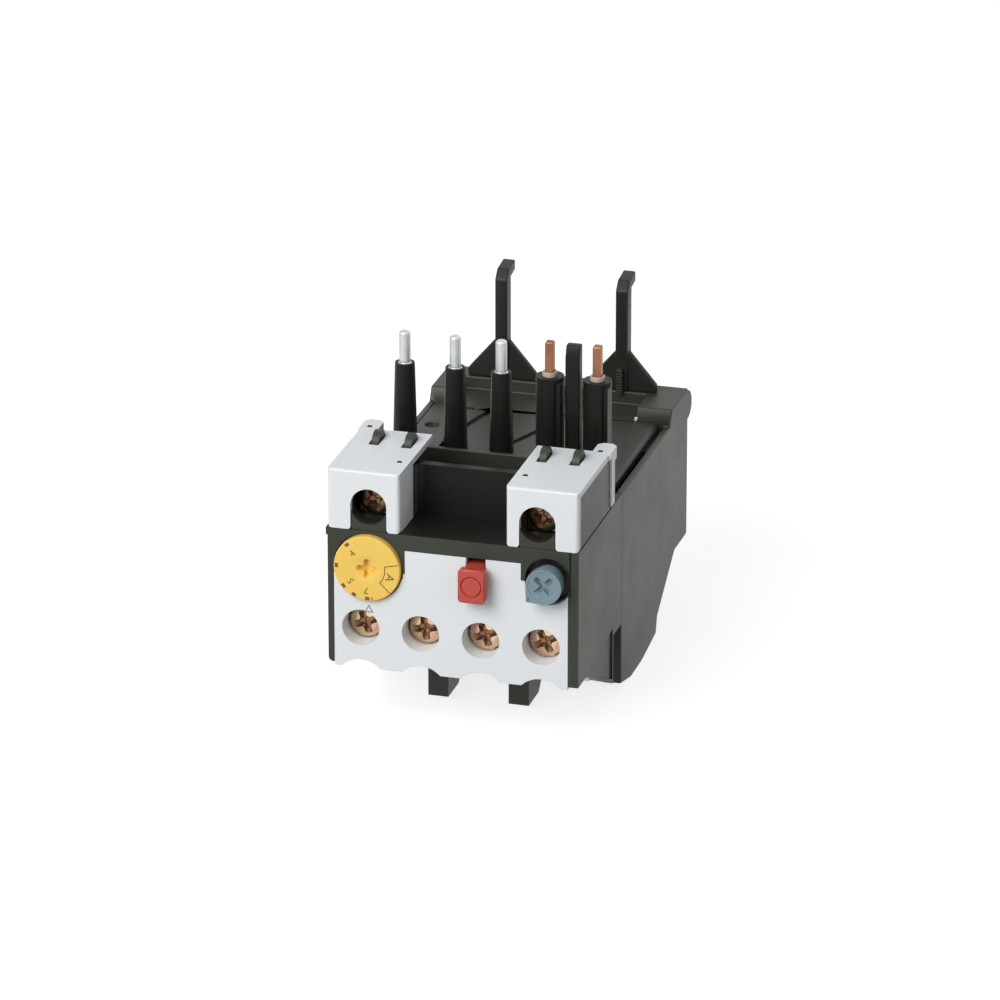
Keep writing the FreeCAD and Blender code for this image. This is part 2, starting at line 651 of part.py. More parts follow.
    # seat of the face plate and holes behind it
    p.cut("XZ_Plane", "0", "plate_thick",
          outline(*plate_corners("plate_gap")))
    p.cut("XZ_Plane", "0", "dial_thick-dial_proud+dial_play",
          disc("-dial_x", "dial_z", "dial_radius+dial_play"))
    p.cut("XZ_Plane", "0", "reset_well_depth", disc("reset_x", "reset_z", "reset_well"))
    p.cut("XZ_Plane", "plate_thick", "front_skin+reset_well_depth",
          disc("-dial_x", "dial_z", "dial_shaft+shaft_play"))
    p.cut("XZ_Plane", "plate_thick", "front_skin+reset_well_depth",
          disc("reset_x", "reset_z", "plunger_radius+plunger_play"))
    p.cut("XZ_Plane", "plate_thick", "front_skin+reset_well_depth",
          rectangle("stop_x-stem_width/2-stem_play", "stem_low-stem_play",
                    "stop_x+stem_width/2+stem_play", "stem_high+stem_play"))
    p.cut("XZ_Plane", "plate_thick", "front_skin",
          *[many_sided(aux_x(n), "aux_z", "aux_hole+plate_collar+plate_gap", HEAD_FLATS)
            for n in range(4)])
    inner = "cover_inner+cover_wall"
    p.fillet("apron_round", both(flat_at("X", "-(%s)" % inner, inner), flat_at("Y", "apron_y")))
    return p


def plate_corners(grown):
    """Corners of the face plate, moved out by a clearance."""
    return (("-plate_left-%s" % grown, "-plate_dip-plate_seat_out"),
            ("plate_right+%s" % grown, "-plate_dip-plate_seat_out"),
            ("plate_right+%s" % grown, "plate_shoulder+%s" % grown),
            ("plate_step_right+%s" % grown, "plate_shoulder+%s" % grown),
            ("plate_step_right+%s" % grown, "plate_top+%s" % grown),
            ("-plate_step_left-%s" % grown, "plate_top+%s" % grown),
            ("-plate_step_left-%s" % grown, "plate_shoulder+%s" % grown),
            ("-plate_left-%s" % grown, "plate_shoulder+%s" % grown))


def rear_housing():
    p = Piece("rear_housing")
    p.add("YZ_Plane", "-body_width/2", "body_width",
          outline(("seam_y", "-base_front_drop"), ("base_flat_y", "-base_drop"),
                  ("base_flat_y+base_flat_length", "-base_drop"),
                  ("base_heel_y", "-base_heel_drop"),
                  ("base_heel_y+heel_lean", "heel_rise-base_heel_drop"),
                  ("back_slope_y", "-back_drop"),
                  ("rear_y", "-back_drop"), ("rear_y", "rear_block_top"),
                  ("rear_block_y", "rear_block_top"), ("deck_rear_y", "deck_top"),
                  ("seam_y", "deck_top")))
    p.chamfer("back_bevel", both(flat_at("X", "-body_width/2", "body_width/2"),
                                 beyond("Y", "base_flat_y+base_flat_length"), below("Z", "-back_drop")))
    p.add("YZ_Plane", "-body_width/2", "body_width",
          disc("rear_y+bead_out-bead_radius", "bead_z", "bead_radius"))
    # recess in front of the hooks
    p.cut("XY_Plane", "deck_top", "rear_block_top-deck_top",
          rectangle("-shelf_left", "deck_rear_y", "shelf_right", "hook_shelf_y"))
    # lower right rim
    p.cut("XY_Plane", "right_rim", "deck_top-right_rim",
          rectangle("body_width/2-wall", "seam_y", "body_width/2", "deck_rear_y"))
    # well that the deck closes, and corridor of the conductors
    p.cut("XY_Plane", "deck_under", "deck_thick",
          rectangle("-body_width/2+wall", "seam_y", "body_width/2-wall", "deck_rear_y"))
    floor = "floor_thick-base_front_drop"
    depth = "deck_under-floor_thick+base_front_drop"
    p.cut("XY_Plane", floor, depth,
          rectangle("-body_width/2+wall", "seam_y+wall", "body_width/2-wall", "chamber_front_y"))
    # one chamber for each heater
    chambers = []
    for phase in PHASES:
        left = "(%d)*rib_pitch-rib_pitch/2+partition/2" % phase
        right = "(%d)*rib_pitch+rib_pitch/2-partition/2" % phase
        if phase < 0:
            left = "-body_width/2+wall"
        if phase > 0:
            right = "body_width/2-wall"
        chambers.append(rectangle(left, "chamber_front_y", right, "base_heel_y-wall"))
    p.cut("XY_Plane", floor, depth, *chambers)
    # passage of the slides through the partitions
    p.cut("YZ_Plane", "-rib_pitch/2-partition", "rib_pitch+2*partition",
          rectangle("slide_front-window_side", "slide_z-window_side",
                    "strip_y", "deck_under"))
    # windows in the front wall for the terminal bars, and the open upper part for the rest
    p.cut("XZ_Plane", "seam_y", "wall",
          *[centred(phase_x(phase), "-clamp_z", "bar_width+slide_gap", "bar_thick+slide_gap")
            for phase in PHASES])
    p.cut("XZ_Plane", "seam_y", "wall",
          rectangle("-body_width/2+wall", "lead_low-window_side", "body_width/2-wall",
                    "deck_under"))
    return p


def wire_holes():
    """Square holes that the coil wires pass through."""
    return [centred(wire_x(side), "pin_row_y", "wire_width+2*pin_play", "wire_width+2*pin_play")
            for side in SIDES]


def band(x, front, rear, lean, width):
    """A slanting groove across the deck, leaning to the right towards the rear."""
    return outline((x, front), ("%s+%s" % (x, width), front),
                   ("%s+%s+%s" % (x, width, lean), rear), ("%s+%s" % (x, lean), rear))


def top_deck():
    p = Piece("top_deck")
    p.add("XY_Plane", "deck_under", "deck_thick",
          rectangle("-body_width/2+wall+pin_play", "deck_front_y+pin_play",
                    "body_width/2-wall-deck_gap", "deck_rear_y-pin_play"))
    p.chamfer("deck_bevel",
              both(flat_at("X", "body_width/2-wall-deck_gap"), flat_at("Z", "deck_top")))
    p.add("XY_Plane", "deck_top", "rim_top-deck_top",
          rectangle("-body_width/2+2*wall", "deck_front_y+pin_play",
                    "body_width/2-2*wall-deck_gap", "deck_front_y+rim_thick"))
    # block beside the second sleeve
    p.add("XY_Plane", "deck_top", "rim_top-deck_top",
          rectangle(pin_x(1) + "-sleeve_root_radius-pin_play-saddle_width",
                    "deck_front_y+rim_thick/2",
                    pin_x(1) + "-sleeve_root_radius-pin_play", "saddle_rear"))
    # grooves and a vent in the deck
    p.cut("XY_Plane", "deck_top-groove_depth", "groove_depth",
          band("-rear_groove_x", "rear_groove_front", "rear_groove_rear", "rear_groove_lean",
               "groove_width"),
          band("-front_groove_x", "front_groove_front", "front_groove_rear", "front_groove_lean",
               "groove_width"))
    p.cut("XY_Plane", "deck_top-groove_depth", "groove_depth",
          centred("-deck_slot_x", "deck_slot_y", "deck_slot_long", "groove_width"),
          many_sided("-vent_x", "vent_y", "groove_width"))
    p.cut("XY_Plane", "deck_under", "deck_thick",
          *[many_sided(pin_x(n), "pin_row_y", "pin_root+pin_play") for n in range(3)])
    p.cut("XY_Plane", "deck_under", "deck_thick", *wire_holes())
    return p


def pin_sleeves():
    p = Piece("pin_sleeves")
    for n in range(3):
        p.tapered("deck_top", "sleeve_top-deck_top", "sleeve_root_radius-sleeve_top_radius",
                  many_sided(pin_x(n), "pin_row_y", "sleeve_root_radius"))
    p.cut("XY_Plane", "deck_top", "sleeve_top-deck_top",
          *[many_sided(pin_x(n), "pin_row_y", "pin_root+pin_play") for n in range(3)])
    return p


def wire_sleeves():
    """Sleeves of the coil wires, each with a fin on its right that keeps it from the finger."""
    p = Piece("wire_sleeves")
    p.add("XY_Plane", "deck_top", "wire_sleeve_top-deck_top",
          *[disc(wire_x(side), "pin_row_y", "wire_sleeve_radius") for side in SIDES])
    p.add("XY_Plane", "deck_top", "wire_sleeve_top-deck_top-fin_width",
          *[rectangle(wire_x(side) + "+wire_sleeve_radius-fin_width", "pin_row_y-wire_sleeve_radius",
                      wire_x(side) + "+wire_sleeve_radius", "pin_row_y") for side in SIDES])
    p.cut("XY_Plane", "wire_sleeve_top-collar_height*2", "collar_height*2",
          *[many_sided(wire_x(side), "pin_row_y", "collar_radius") for side in SIDES])
    p.cut("XY_Plane", "deck_top", "wire_sleeve_top-deck_top", *wire_holes())
    return p


def locating_finger():
    p = Piece("locating_finger")
    p.add("YZ_Plane", "wire_mid-finger_width/2", "finger_width",
          outline(("pin_row_y-finger_depth/2", "deck_top"), ("pin_row_y+finger_depth/2", "deck_top"),
                  ("pin_row_y+finger_depth/2", "finger_top"),
                  ("pin_row_y-finger_depth/6", "finger_top"),
                  ("pin_row_y-finger_depth/2", "finger_top-finger_depth")))
    return p


def hook(side, label):
    """A latch hook with its gusset, standing on the rear block."""
    p = Piece(label)
    middle = "(%d)*hook_pitch/2" % side
    p.add("YZ_Plane", middle + "-hook_width/2", "hook_width",
          outline(("hook_shelf_y", "rear_block_top"), ("hook_shelf_y+hook_depth", "rear_block_top"),
                  ("hook_shelf_y+hook_depth", "hook_height-hook_nose-hook_throat"),
                  ("hook_shelf_y+hook_reach", "hook_height-hook_nose"),
                  ("hook_shelf_y+hook_reach", "hook_height"),
                  ("hook_shelf_y+hook_depth/2", "hook_height-hook_slope"),
                  ("hook_shelf_y", "hook_height-hook_nose-hook_shoulder")))
    p.add("XZ_Plane", "hook_shelf_y+gusset_set_back", "gusset_thick",
          outline((middle + "-gusset_half", "rear_block_top"),
                  (middle + "+gusset_half", "rear_block_top"),
                  (middle + "+gusset_half", "rear_block_top+gusset_foot"),
                  (middle + "+hook_width/2", "gusset_top"), (middle + "-hook_width/2", "gusset_top"),
                  (middle + "-gusset_half", "rear_block_top+gusset_foot")))
    return p


# ---------------------------------------------------------------- white parts


def face_plate():
    p = Piece("face_plate")
    corners = list(plate_corners("0"))
    corners[0] = ("-plate_left", "-plate_dip")
    corners[1] = ("plate_right", "-plate_dip")
    p.add("XZ_Plane", "0", "plate_thick", outline(*corners))
    scallop = "(scallop_half*scallop_half+scallop_rise*scallop_rise)/(2*scallop_rise)"
    low = "-plate_dip+scallop_rise-" + scallop
    p.cut("XZ_Plane", "0", "plate_thick", *[disc(aux_x(n), low, scallop) for n in range(4)])
    p.add("XZ_Plane", "plate_thick", "plate_collar_deep",
          *[many_sided(aux_x(n), "aux_z", "aux_hole+plate_collar", HEAD_FLATS) for n in range(4)])
    p.cut("XZ_Plane", "0", "plate_thick+plate_collar_deep",
          *[disc(aux_x(n), "aux_z", "aux_hole") for n in range(4)])
    p.cut("XZ_Plane", "0", "plate_thick", disc("-dial_x", "dial_z", "dial_radius+dial_play"))
    p.cut("XZ_Plane", "0", "plate_thick", disc("reset_x", "reset_z", "reset_well+plate_clear"))
    p.cut("XZ_Plane", "0", "plate_thick",
          rectangle("stop_x-stem_width/2-stem_play", "stem_low-stem_play",
                    "stop_x+stem_width/2+stem_play", "plate_top"))
    return p


def ear(side, front):
    """Outline of a cover's ear, with its rear corners cut off."""
    outer = "body_width/2+lug_overhang"
    inner = outer + "-cover_ear_width"
    corners = ((inner, front), (outer, front), (outer, "cover_ear_rear-cover_ear_corner"),
               (outer + "-cover_ear_corner", "cover_ear_rear"),
               (inner + "+cover_ear_corner", "cover_ear_rear"),
               (inner, "cover_ear_rear-cover_ear_corner"))
    return outline(*[("(%d)*(%s)" % (side, across), back) for across, back in corners])


def terminal_cover(side, label):
    """A snap-on cover: top, front with an arch, inner cheek and an outer ear with a leg."""
    p = Piece(label)
    p.add("XY_Plane", "cover_top-cover_wall", "cover_wall",
          mirrored(side, "cover_inner", "body_width/2", "0", "cover_rear_y"))
    p.add("XZ_Plane", "0", "cover_wall",
          mirrored(side, "cover_inner", "body_width/2", "ledge_top", "cover_top"))
    p.add("XY_Plane", "ledge_top", "cover_top-ledge_top",
          mirrored(side, "cover_inner", "cover_inner+cover_wall-pin_play", "0",
                   "cover_side_length"))
    p.add("XY_Plane", "cover_top-cover_ear_thick", "cover_ear_thick",
          ear(side, "cover_rear_y+pin_play"))
    p.add("XY_Plane", "cover_top-cover_wall", "cover_wall", ear(side, "cover_rear_y-cover_wall"))
    p.add("XY_Plane", "cover_leg_bottom", "cover_top-cover_leg_bottom",
          mirrored(side, "body_width/2+lug_overhang-cover_leg_width", "body_width/2+lug_overhang",
                   "cover_leg_front", "cover_leg_rear"))
    arch = "(%d)*coil_x" % side
    p.cut("XZ_Plane", "0", "cover_wall", disc(arch, "arch_top-arch_half", "arch_half"))
    p.cut("XZ_Plane", "0", "cover_wall",
          rectangle(arch + "-arch_half", "ledge_top", arch + "+arch_half", "arch_top-arch_half"))
    p.cut("XY_Plane", "cover_top-cover_wall", "cover_wall",
          *[centred("(%d)*tongue_mid+(%d)*tongue_pitch/2" % (side, tongue), "tongue_y",
                    "tongue_slot_width", "tongue_slot_length") for tongue in SIDES])
    p.fillet("cover_round", both(flat_at("Z", "cover_top"), flat_at("Y", "0")))
    return p


# ---------------------------------------------------------------- pins, wires, conductors


def lead_height(number):
    return "lead_low+%d*lead_step" % number


def contact_pin(number, label):
    """A contact pin with the conductor that runs under the deck to its heater."""
    p = Piece(label)
    phase = PHASES[number]
    foot = lead_height(number)
    p.add("XY_Plane", foot, "pin_top-(%s)" % foot, disc(pin_x(number), "pin_row_y", "pin_radius"))
    p.chamfer("pin_bevel", flat_at("Z", "pin_top"))
    p.add("XY_Plane", foot, "sleeve_top-(%s)" % foot,
          many_sided(pin_x(number), "pin_row_y", "pin_root"))
    p.add("XY_Plane", foot, "lead_thick", lead_run(pin_x(number), phase_x(phase)))
    p.add("XY_Plane", foot, "lead_thick",
          rectangle(phase_x(phase) + "-1.5*pin_radius", "pin_row_y",
                    phase_x(phase) + "+1.5*pin_radius",
                    "strip_y-strip_width/2-heater_play-core_wall-heater_wall-pin_play"))
    return p


def lead_run(start, end):
    """A flat conductor under the pin row, long enough for both ends."""
    low, high = (start, end) if value(start) < value(end) else (end, start)
    return rectangle(low + "-1.5*pin_radius", "pin_row_y-1.5*pin_radius", high + "+1.5*pin_radius",
                     "pin_row_y+1.5*pin_radius")


def coil_wire(side, label):
    p = Piece(label)
    p.add("XY_Plane", "deck_under-wire_tail", "wire_top-deck_under+wire_tail",
          centred(wire_x(side), "pin_row_y", "wire_width", "wire_width"))
    p.chamfer("wire_bevel", flat_at("Z", "wire_top"))
    return p


def wire_collars():
    p = Piece("wire_collars")
    p.add("XY_Plane", "wire_sleeve_top-2*collar_height", "3*collar_height",
          *[many_sided(wire_x(side), "pin_row_y", "collar_radius-pin_play") for side in SIDES])
    p.cut("XY_Plane", "wire_sleeve_top-2*collar_height", "3*collar_height",
          *[centred(wire_x(side), "pin_row_y", "wire_width+pin_play", "wire_width+pin_play")
            for side in SIDES])
    return p


# ---------------------------------------------------------------- screw terminals


def cross(across, up):
    """Outline of a cross recess."""
    wide, narrow = "drive_length/2", "drive_width/2"
    corners = ((wide, "-" + narrow), (wide, narrow), (narrow, narrow), (narrow, wide))
    quarter_turns = ((1, 0, 0, 1), (0, -1, 1, 0), (-1, 0, 0, -1), (0, 1, -1, 0))
    points = []
    for a, b, c, d in quarter_turns:
        for h, v in corners[1:]:
            points.append(("%s+(%d)*(%s)+(%d)*(%s)" % (across, a, h, b, v),
                           "%s+(%d)*(%s)+(%d)*(%s)" % (up, c, h, d, v)))
    return outline(*points)


def screws(label, places, height, front, head, head_thick, shank_long):
    """Cross-recess screws on the Y axis, heads towards the front."""
    p = Piece(label)
    p.add("XZ_Plane", front, head_thick,
          *[many_sided(x, height, head, HEAD_FLATS) for x in places])
    p.add("XZ_Plane", "%s+%s" % (front, head_thick), shank_long,
          *[many_sided(x, height, "shank") for x in places])
    p.cut("XZ_Plane", front, "drive_depth", *[cross(x, height) for x in places])
    return p


def clamp_washers(label, places, height, front):
    """Square washers under the heads and the tapped plates behind them."""
    p = Piece(label)
    plate = front + "+washer_thick+wire_gap"
    p.add("XZ_Plane", front, "washer_thick",
          *[centred(x, height, "washer_side", "washer_side") for x in places])
    p.add("XZ_Plane", plate, "nut_plate_thick",
          *[centred(x, height, "washer_side", "washer_side") for x in places])
    p.cut("XZ_Plane", front, "washer_thick+wire_gap+nut_plate_thick",
          *[many_sided(x, height, "shank+pin_play") for x in places])
    return p


def box_clamps():
    """Box clamps of the main terminals, open to the front and below."""
    p = Piece("main_terminal_clamps")
    p.add("XY_Plane", "-clamp_z-clamp_height/2", "clamp_height",
          *[rectangle(phase_x(k) + "-clamp_width/2", "clamp_front_y", phase_x(k) + "+clamp_width/2",
                      "clamp_front_y+clamp_depth") for k in PHASES])
    p.cut("XY_Plane", "-clamp_z-clamp_height/2", "clamp_height",
          *[rectangle(phase_x(k) + "-clamp_width/2+clamp_sheet",
                      "clamp_front_y+2*clamp_sheet",
                      phase_x(k) + "+clamp_width/2-clamp_sheet",
                      "clamp_front_y+clamp_depth-clamp_sheet") for k in PHASES])
    p.cut("XZ_Plane", "clamp_front_y", "2*clamp_sheet",
          *[many_sided(phase_x(k), "-clamp_z", "shank+pin_play") for k in PHASES])
    p.cut("XZ_Plane", "clamp_front_y+clamp_depth-clamp_sheet", "clamp_sheet",
          *[centred(phase_x(k), "-clamp_z", "bar_width+pin_play", "bar_thick+2*pin_play")
            for k in PHASES])
    return p


def terminal_bars():
    """Bars from the bimetals' feet through the rear housing into the box clamps."""
    p = Piece("terminal_bars")
    p.add("XZ_Plane", "clamp_front_y+clamp_depth/2", "strip_y-clamp_front_y-clamp_depth/2",
          *[centred(phase_x(k), "-clamp_z", "bar_width", "bar_thick") for k in PHASES])
    return p


# ---------------------------------------------------------------- controls


def setting_dial():
    p = Piece("setting_dial")
    p.add("XZ_Plane", "-dial_proud", "dial_thick", disc("-dial_x", "dial_z", "dial_radius"))
    p.chamfer("dial_bevel", flat_at("Y", "-dial_proud"))
    p.add("XZ_Plane", "dial_thick-dial_proud", "cam_y+dial_proud-dial_thick",
          disc("-dial_x", "dial_z", "dial_shaft"))
    for width, height in (("dial_slot", "dial_slot_long"), ("dial_slot_long", "dial_slot")):
        p.cut("XZ_Plane", "-dial_proud", "dial_thick/2", centred("-dial_x", "dial_z", width, height))
    return p


def setting_cam():
    p = Piece("setting_cam")
    p.add("XZ_Plane", "cam_y", "cam_thick", disc("-dial_x-cam_throw", "dial_z", "cam_radius"))
    return p


def stop_button():
    p = Piece("stop_button")
    p.add("XZ_Plane", "-stop_proud", "stop_cap",
          centred("stop_x", "stop_z", "stop_width", "stop_tall"))
    p.fillet("stop_round", flat_at("Y", "-stop_proud"))
    p.add("XZ_Plane", "stop_cap-stop_proud", "stem_length",
          rectangle("stop_x-stem_width/2", "stem_low", "stop_x+stem_width/2", "stem_high"))
    return p


def reset_knob():
    p = Piece("reset_knob")
    p.add("XZ_Plane", "-reset_proud", "reset_long", disc("reset_x", "reset_z", "reset_radius"))
    reach = "(reset_radius+pointer_reach)*sqrt(0.5)"
    p.add("XZ_Plane", "-reset_proud", "reset_proud-reset_stroke-pin_play",
          outline(("reset_x", "reset_z-reset_radius+pin_play"),
                  ("reset_x-" + reach, "reset_z-" + reach),
                  ("reset_x-reset_radius+pin_play", "reset_z"), ("reset_x", "reset_z")))
    p.cut("XZ_Plane", "reset_long-reset_proud-journal_length", "journal_length",
          disc("reset_x", "reset_z", "journal_radius+shaft_play"))
    for width, height in (("knob_slot", "knob_slot_long"), ("knob_slot_long", "knob_slot")):
        p.cut("XZ_Plane", "-reset_proud", "knob_slot_deep",
              centred("reset_x", "reset_z", width, height))
    return p


def reset_plunger():
    """The plunger behind the knob: a journal that the knob turns on, and the stem behind it."""
    p = Piece("reset_plunger")
    back = "reset_long-reset_proud"
    p.add("XZ_Plane", back + "-journal_length+journal_gap", "journal_length-journal_gap",
          disc("reset_x", "reset_z", "journal_radius"))
    p.add("XZ_Plane", back, "plunger_length", disc("reset_x", "reset_z", "plunger_radius"))
    return p


def spring(label, across, up, front, coil_radius):
    """A compression spring on the Y axis between `front` and the bracket, its wire bent in short steps."""
    wire = value("spring_wire")
    length = value("bracket_y-2*spring_seat-(%s)" % front) - wire
    radius = value(coil_radius)
    steps = round(value("spring_turns") * SPRING_STEPS)
    route = []
    for step in range(steps + 1):
        turn = 2 * math.pi * step / SPRING_STEPS
        route.append(FreeCAD.Vector(radius * math.cos(turn), radius * math.sin(turn),
                                    length * step / steps))
    corners = []
    for corner in range(SPRING_SIDES):
        turn = 2 * math.pi * corner / SPRING_SIDES
        corners.append(FreeCAD.Vector(radius + wire / 2 * math.cos(turn), 0,
                                      wire / 2 * math.sin(turn)))
    section = Part.makePolygon(corners + corners[:1])
    coil = Part.makePolygon(route).makePipeShell([section], True, False, 1)
    feature = doc.addObject("Part::Feature", label)
    feature.Label = label
    feature.Shape = coil
    feature.Placement = FreeCAD.Placement(FreeCAD.Vector(), FreeCAD.Rotation(ALONG_X, -90))
    STARTS[label] = (across, "%s+spring_seat+spring_wire/2" % front, up)
    PIECES.append(feature)


# ---------------------------------------------------------------- heaters and trip mechanism


def bimetal_strips():
    p = Piece("bimetal_strips")
    p.add("XY_Plane", "bar_thick/2-clamp_z", "strip_top-bar_thick/2+clamp_z",
          *[centred(phase_x(k), "strip_y", "strip_thick", "strip_width") for k in PHASES])
    return p


def foot_blocks():
    """Blocks that clamp the bimetals' feet and stand on the terminal bars."""
    p = Piece("bimetal_feet")
    p.add("XY_Plane", "-clamp_z+bar_thick/2", "post_height",
          *[centred(phase_x(k), "strip_y", "post_width", "post_depth") for k in PHASES])
    p.cut("XY_Plane", "-clamp_z+bar_thick/2", "post_height",
          *[centred(phase_x(k), "strip_y", "strip_thick", "strip_width") for k in PHASES])
    return p


def heater_size(grown):
    return ("strip_thick+2*heater_play+2*(%s)" % grown, "strip_width+2*heater_play+2*(%s)" % grown)


def heater_cores():
    """Insulating cores round the bimetals."""
    p = Piece("heater_cores")
    height = "heater_turns*heater_pitch+heater_ribbon"
    for kind, grown in ((p.add, "core_wall"), (p.cut, "0")):
        kind("XY_Plane", "heater_low", height,
             *[centred(phase_x(k), "strip_y", *heater_size(grown)) for k in PHASES])
    return p


def heater_windings():
    """Ribbon windings round the cores, one turn above another."""
    p = Piece("heater_windings")
    turns = int(value("heater_turns"))
    for turn in range(turns):
        p.add("XY_Plane", "heater_low+(%d+1/2)*heater_pitch" % turn, "heater_ribbon",
              *[centred(phase_x(k), "strip_y", *heater_size("core_wall+heater_wall"))
                for k in PHASES])
    # the riser that joins the turns
    p.add("XY_Plane", "heater_low+heater_pitch/2", "(heater_turns-1)*heater_pitch",
          *[centred(phase_x(k), "strip_y-strip_width/2-heater_play-core_wall-heater_wall/2",
                    "strip_thick", "heater_wall") for k in PHASES])
    p.cut("XY_Plane", "heater_low", "(heater_turns+1)*heater_pitch",
          *[centred(phase_x(k), "strip_y", *heater_size("core_wall")) for k in PHASES])
    return p


def trip_slide():
    """The bar that the bimetals push to the right, with a finger at the right of each strip."""
    p = Piece("trip_slide")
    rear = "slide_front+slide_depth"
    p.add("XY_Plane", "slide_z", "slide_thick",
          rectangle("-slide_left", "slide_front", "slide_right", rear))
    p.add("XY_Plane", "slide_z", "slide_thick",
          *[rectangle(phase_x(k) + "+strip_thick/2+slide_gap", rear,
                      phase_x(k) + "+strip_thick/2+slide_gap+slide_thick", "strip_y-slide_gap")
            for k in PHASES])
    return p


def phase_loss_slide():
    """The second bar, above the first, with fingers at the left of the strips."""
    p = Piece("phase_loss_slide")
    low = "slide_z+slide_thick+pin_play"
    rear = "slide_front+slide_depth"
    p.add("XY_Plane", low, "slide_thick",
          rectangle("-slide_left", "slide_front", "slide_right-2*slide_stroke", rear))
    p.add("XY_Plane", low, "slide_thick",
          *[rectangle(phase_x(k) + "-strip_thick/2-slide_gap-slide_thick", rear,
                      phase_x(k) + "-strip_thick/2-slide_gap", "strip_y-slide_gap")
            for k in PHASES])
    return p


def trip_lever():
    """A two-armed lever: the slide pushes its rear arm, its front arm opens the contact."""
    p = Piece("trip_lever")
    p.add("XY_Plane", "slide_z", "lever_thick",
          rectangle("lever_x-lever_arm/2", "lever_front_y", "lever_x+lever_arm/2",
                    "slide_front+slide_depth"))
    p.add("XY_Plane", "slide_z", "lever_thick", many_sided("lever_x", "lever_y", "lever_hub"))
    p.cut("XY_Plane", "slide_z", "lever_thick", disc("lever_x", "lever_y", "lever_pin+lever_play"))
    return p


def lever_pivot_pin():
    """The pin that hangs from the deck, with a collar under the lever."""
    p = Piece("lever_pin")
    p.add("XY_Plane", "slide_z-pin_play", "deck_under-slide_z+pin_play",
          disc("lever_x", "lever_y", "lever_pin"))
    p.add("XY_Plane", "slide_z-pin_play-collar_height", "collar_height",
          many_sided("lever_x", "lever_y", "lever_hub"))
    return p


def spring_bracket():
    """A plate across the mechanism chamber that the two springs bear on."""
    p = Piece("spring_bracket")
    p.add("XZ_Plane", "bracket_y", "bracket_thick",
          rectangle("stop_x-stem_width", "mech_bottom", "body_width/2-wall", "chamber_top"))
    p.add("XY_Plane", "mech_bottom", "bracket_thick",
          rectangle("stop_x-stem_width", "bracket_y-bracket_foot", "body_width/2-wall", "bracket_y"))
    return p


def compensation_strip():
    """The bimetal that evens out the room's warmth; the dial's cam sets its stop."""
    p = Piece("compensation_strip")
    p.add("XY_Plane", "mech_bottom", "chamber_top-mech_bottom-slide_gap",
          rectangle("cam_throw+cam_radius+slide_gap-dial_x", "cam_y",
                    "cam_throw+cam_radius+slide_gap-dial_x+strip_thick", "cam_y+cam_thick"))
    return p


def contact_block():
    """The insulating block that holds the contact springs' left ends."""
    p = Piece("contact_block")
    p.add("XY_Plane", "mech_bottom", "block_height",
          rectangle("-contact_left-block_width", "contact_y-contact_gap",
                    "-contact_left", "contact_y+2*contact_gap+contact_thick"))
    return p


def contact_springs():
    """The springs of the opening and the closing contact, each with its contact rivet."""
    p = Piece("contact_springs")
    low = "mech_bottom+block_height-contact_wide-pin_play"
    p.add("XY_Plane", low, "contact_wide",
          *[rectangle("-contact_left", "contact_y+%d*contact_gap" % k, "contact_right",
                      "contact_y+%d*contact_gap+contact_thick" % k) for k in (0, 1)])
    return p


def contact_rivets():
    """Silver rivets on the springs' free ends."""
    p = Piece("contact_rivets")
    middle = "mech_bottom+block_height-contact_wide/2-pin_play"
    p.add("XZ_Plane", "contact_y-contact_thick", "contact_thick",
          many_sided("contact_right-contact_wide/2", middle, "contact_wide/3"))
    p.add("XZ_Plane", "contact_y+contact_gap-contact_thick", "contact_thick",
          many_sided("contact_right-contact_wide/2", middle, "contact_wide/3"))
    return p


def main():
    front_housing()
    rear_housing()
    top_deck()
    pin_sleeves()
    wire_sleeves()
    locating_finger()
    hook(-1, "left_hook")
    hook(1, "right_hook")
    face_plate()
    terminal_cover(-1, "left_terminal_cover")
    terminal_cover(1, "right_terminal_cover")
    for number in range(3):
        contact_pin(number, "contact_pin_%d" % (number + 1))
    coil_wire(-1, "coil_wire_left")
    coil_wire(1, "coil_wire_right")
    wire_collars()
    aux = [aux_x(n) for n in range(4)]
    screws("auxiliary_screws", aux, "aux_z", "screw_set_back", "screw_head", "screw_head_thick",
           "shank_length")
    clamp_washers("auxiliary_clamps", aux, "aux_z", "screw_set_back+screw_head_thick")
    coil = ["(%d)*coil_x" % side for side in SIDES]
    front = "cover_wall+screw_set_back"
    screws("coil_screws", coil, "coil_z", front, "screw_head", "screw_head_thick", "shank_length")
    clamp_washers("coil_clamps", coil, "coil_z", front + "+screw_head_thick")
    phases = [phase_x(k) for k in PHASES]
    screws("main_terminal_screws", phases, "-clamp_z", "clamp_front_y-main_screw_long",
           "main_screw_head", "main_screw_long", "clamp_depth/2")
    box_clamps()
    terminal_bars()
    setting_dial()
    setting_cam()
    stop_button()
    reset_knob()
    reset_plunger()
    spring("stop_spring", "stop_x", "(stem_low+stem_high)/2", "stop_cap-stop_proud+stem_length",
           "stop_spring_radius")
    spring("reset_spring", "reset_x", "reset_z", "reset_long-reset_proud+plunger_length",
           "reset_spring_radius")
    spring_bracket()
    compensation_strip()
    contact_block()
    contact_springs()
    contact_rivets()
    bimetal_strips()
    foot_blocks()
    heater_cores()
    heater_windings()
    trip_slide()
    phase_loss_slide()
    trip_lever()
    lever_pivot_pin()


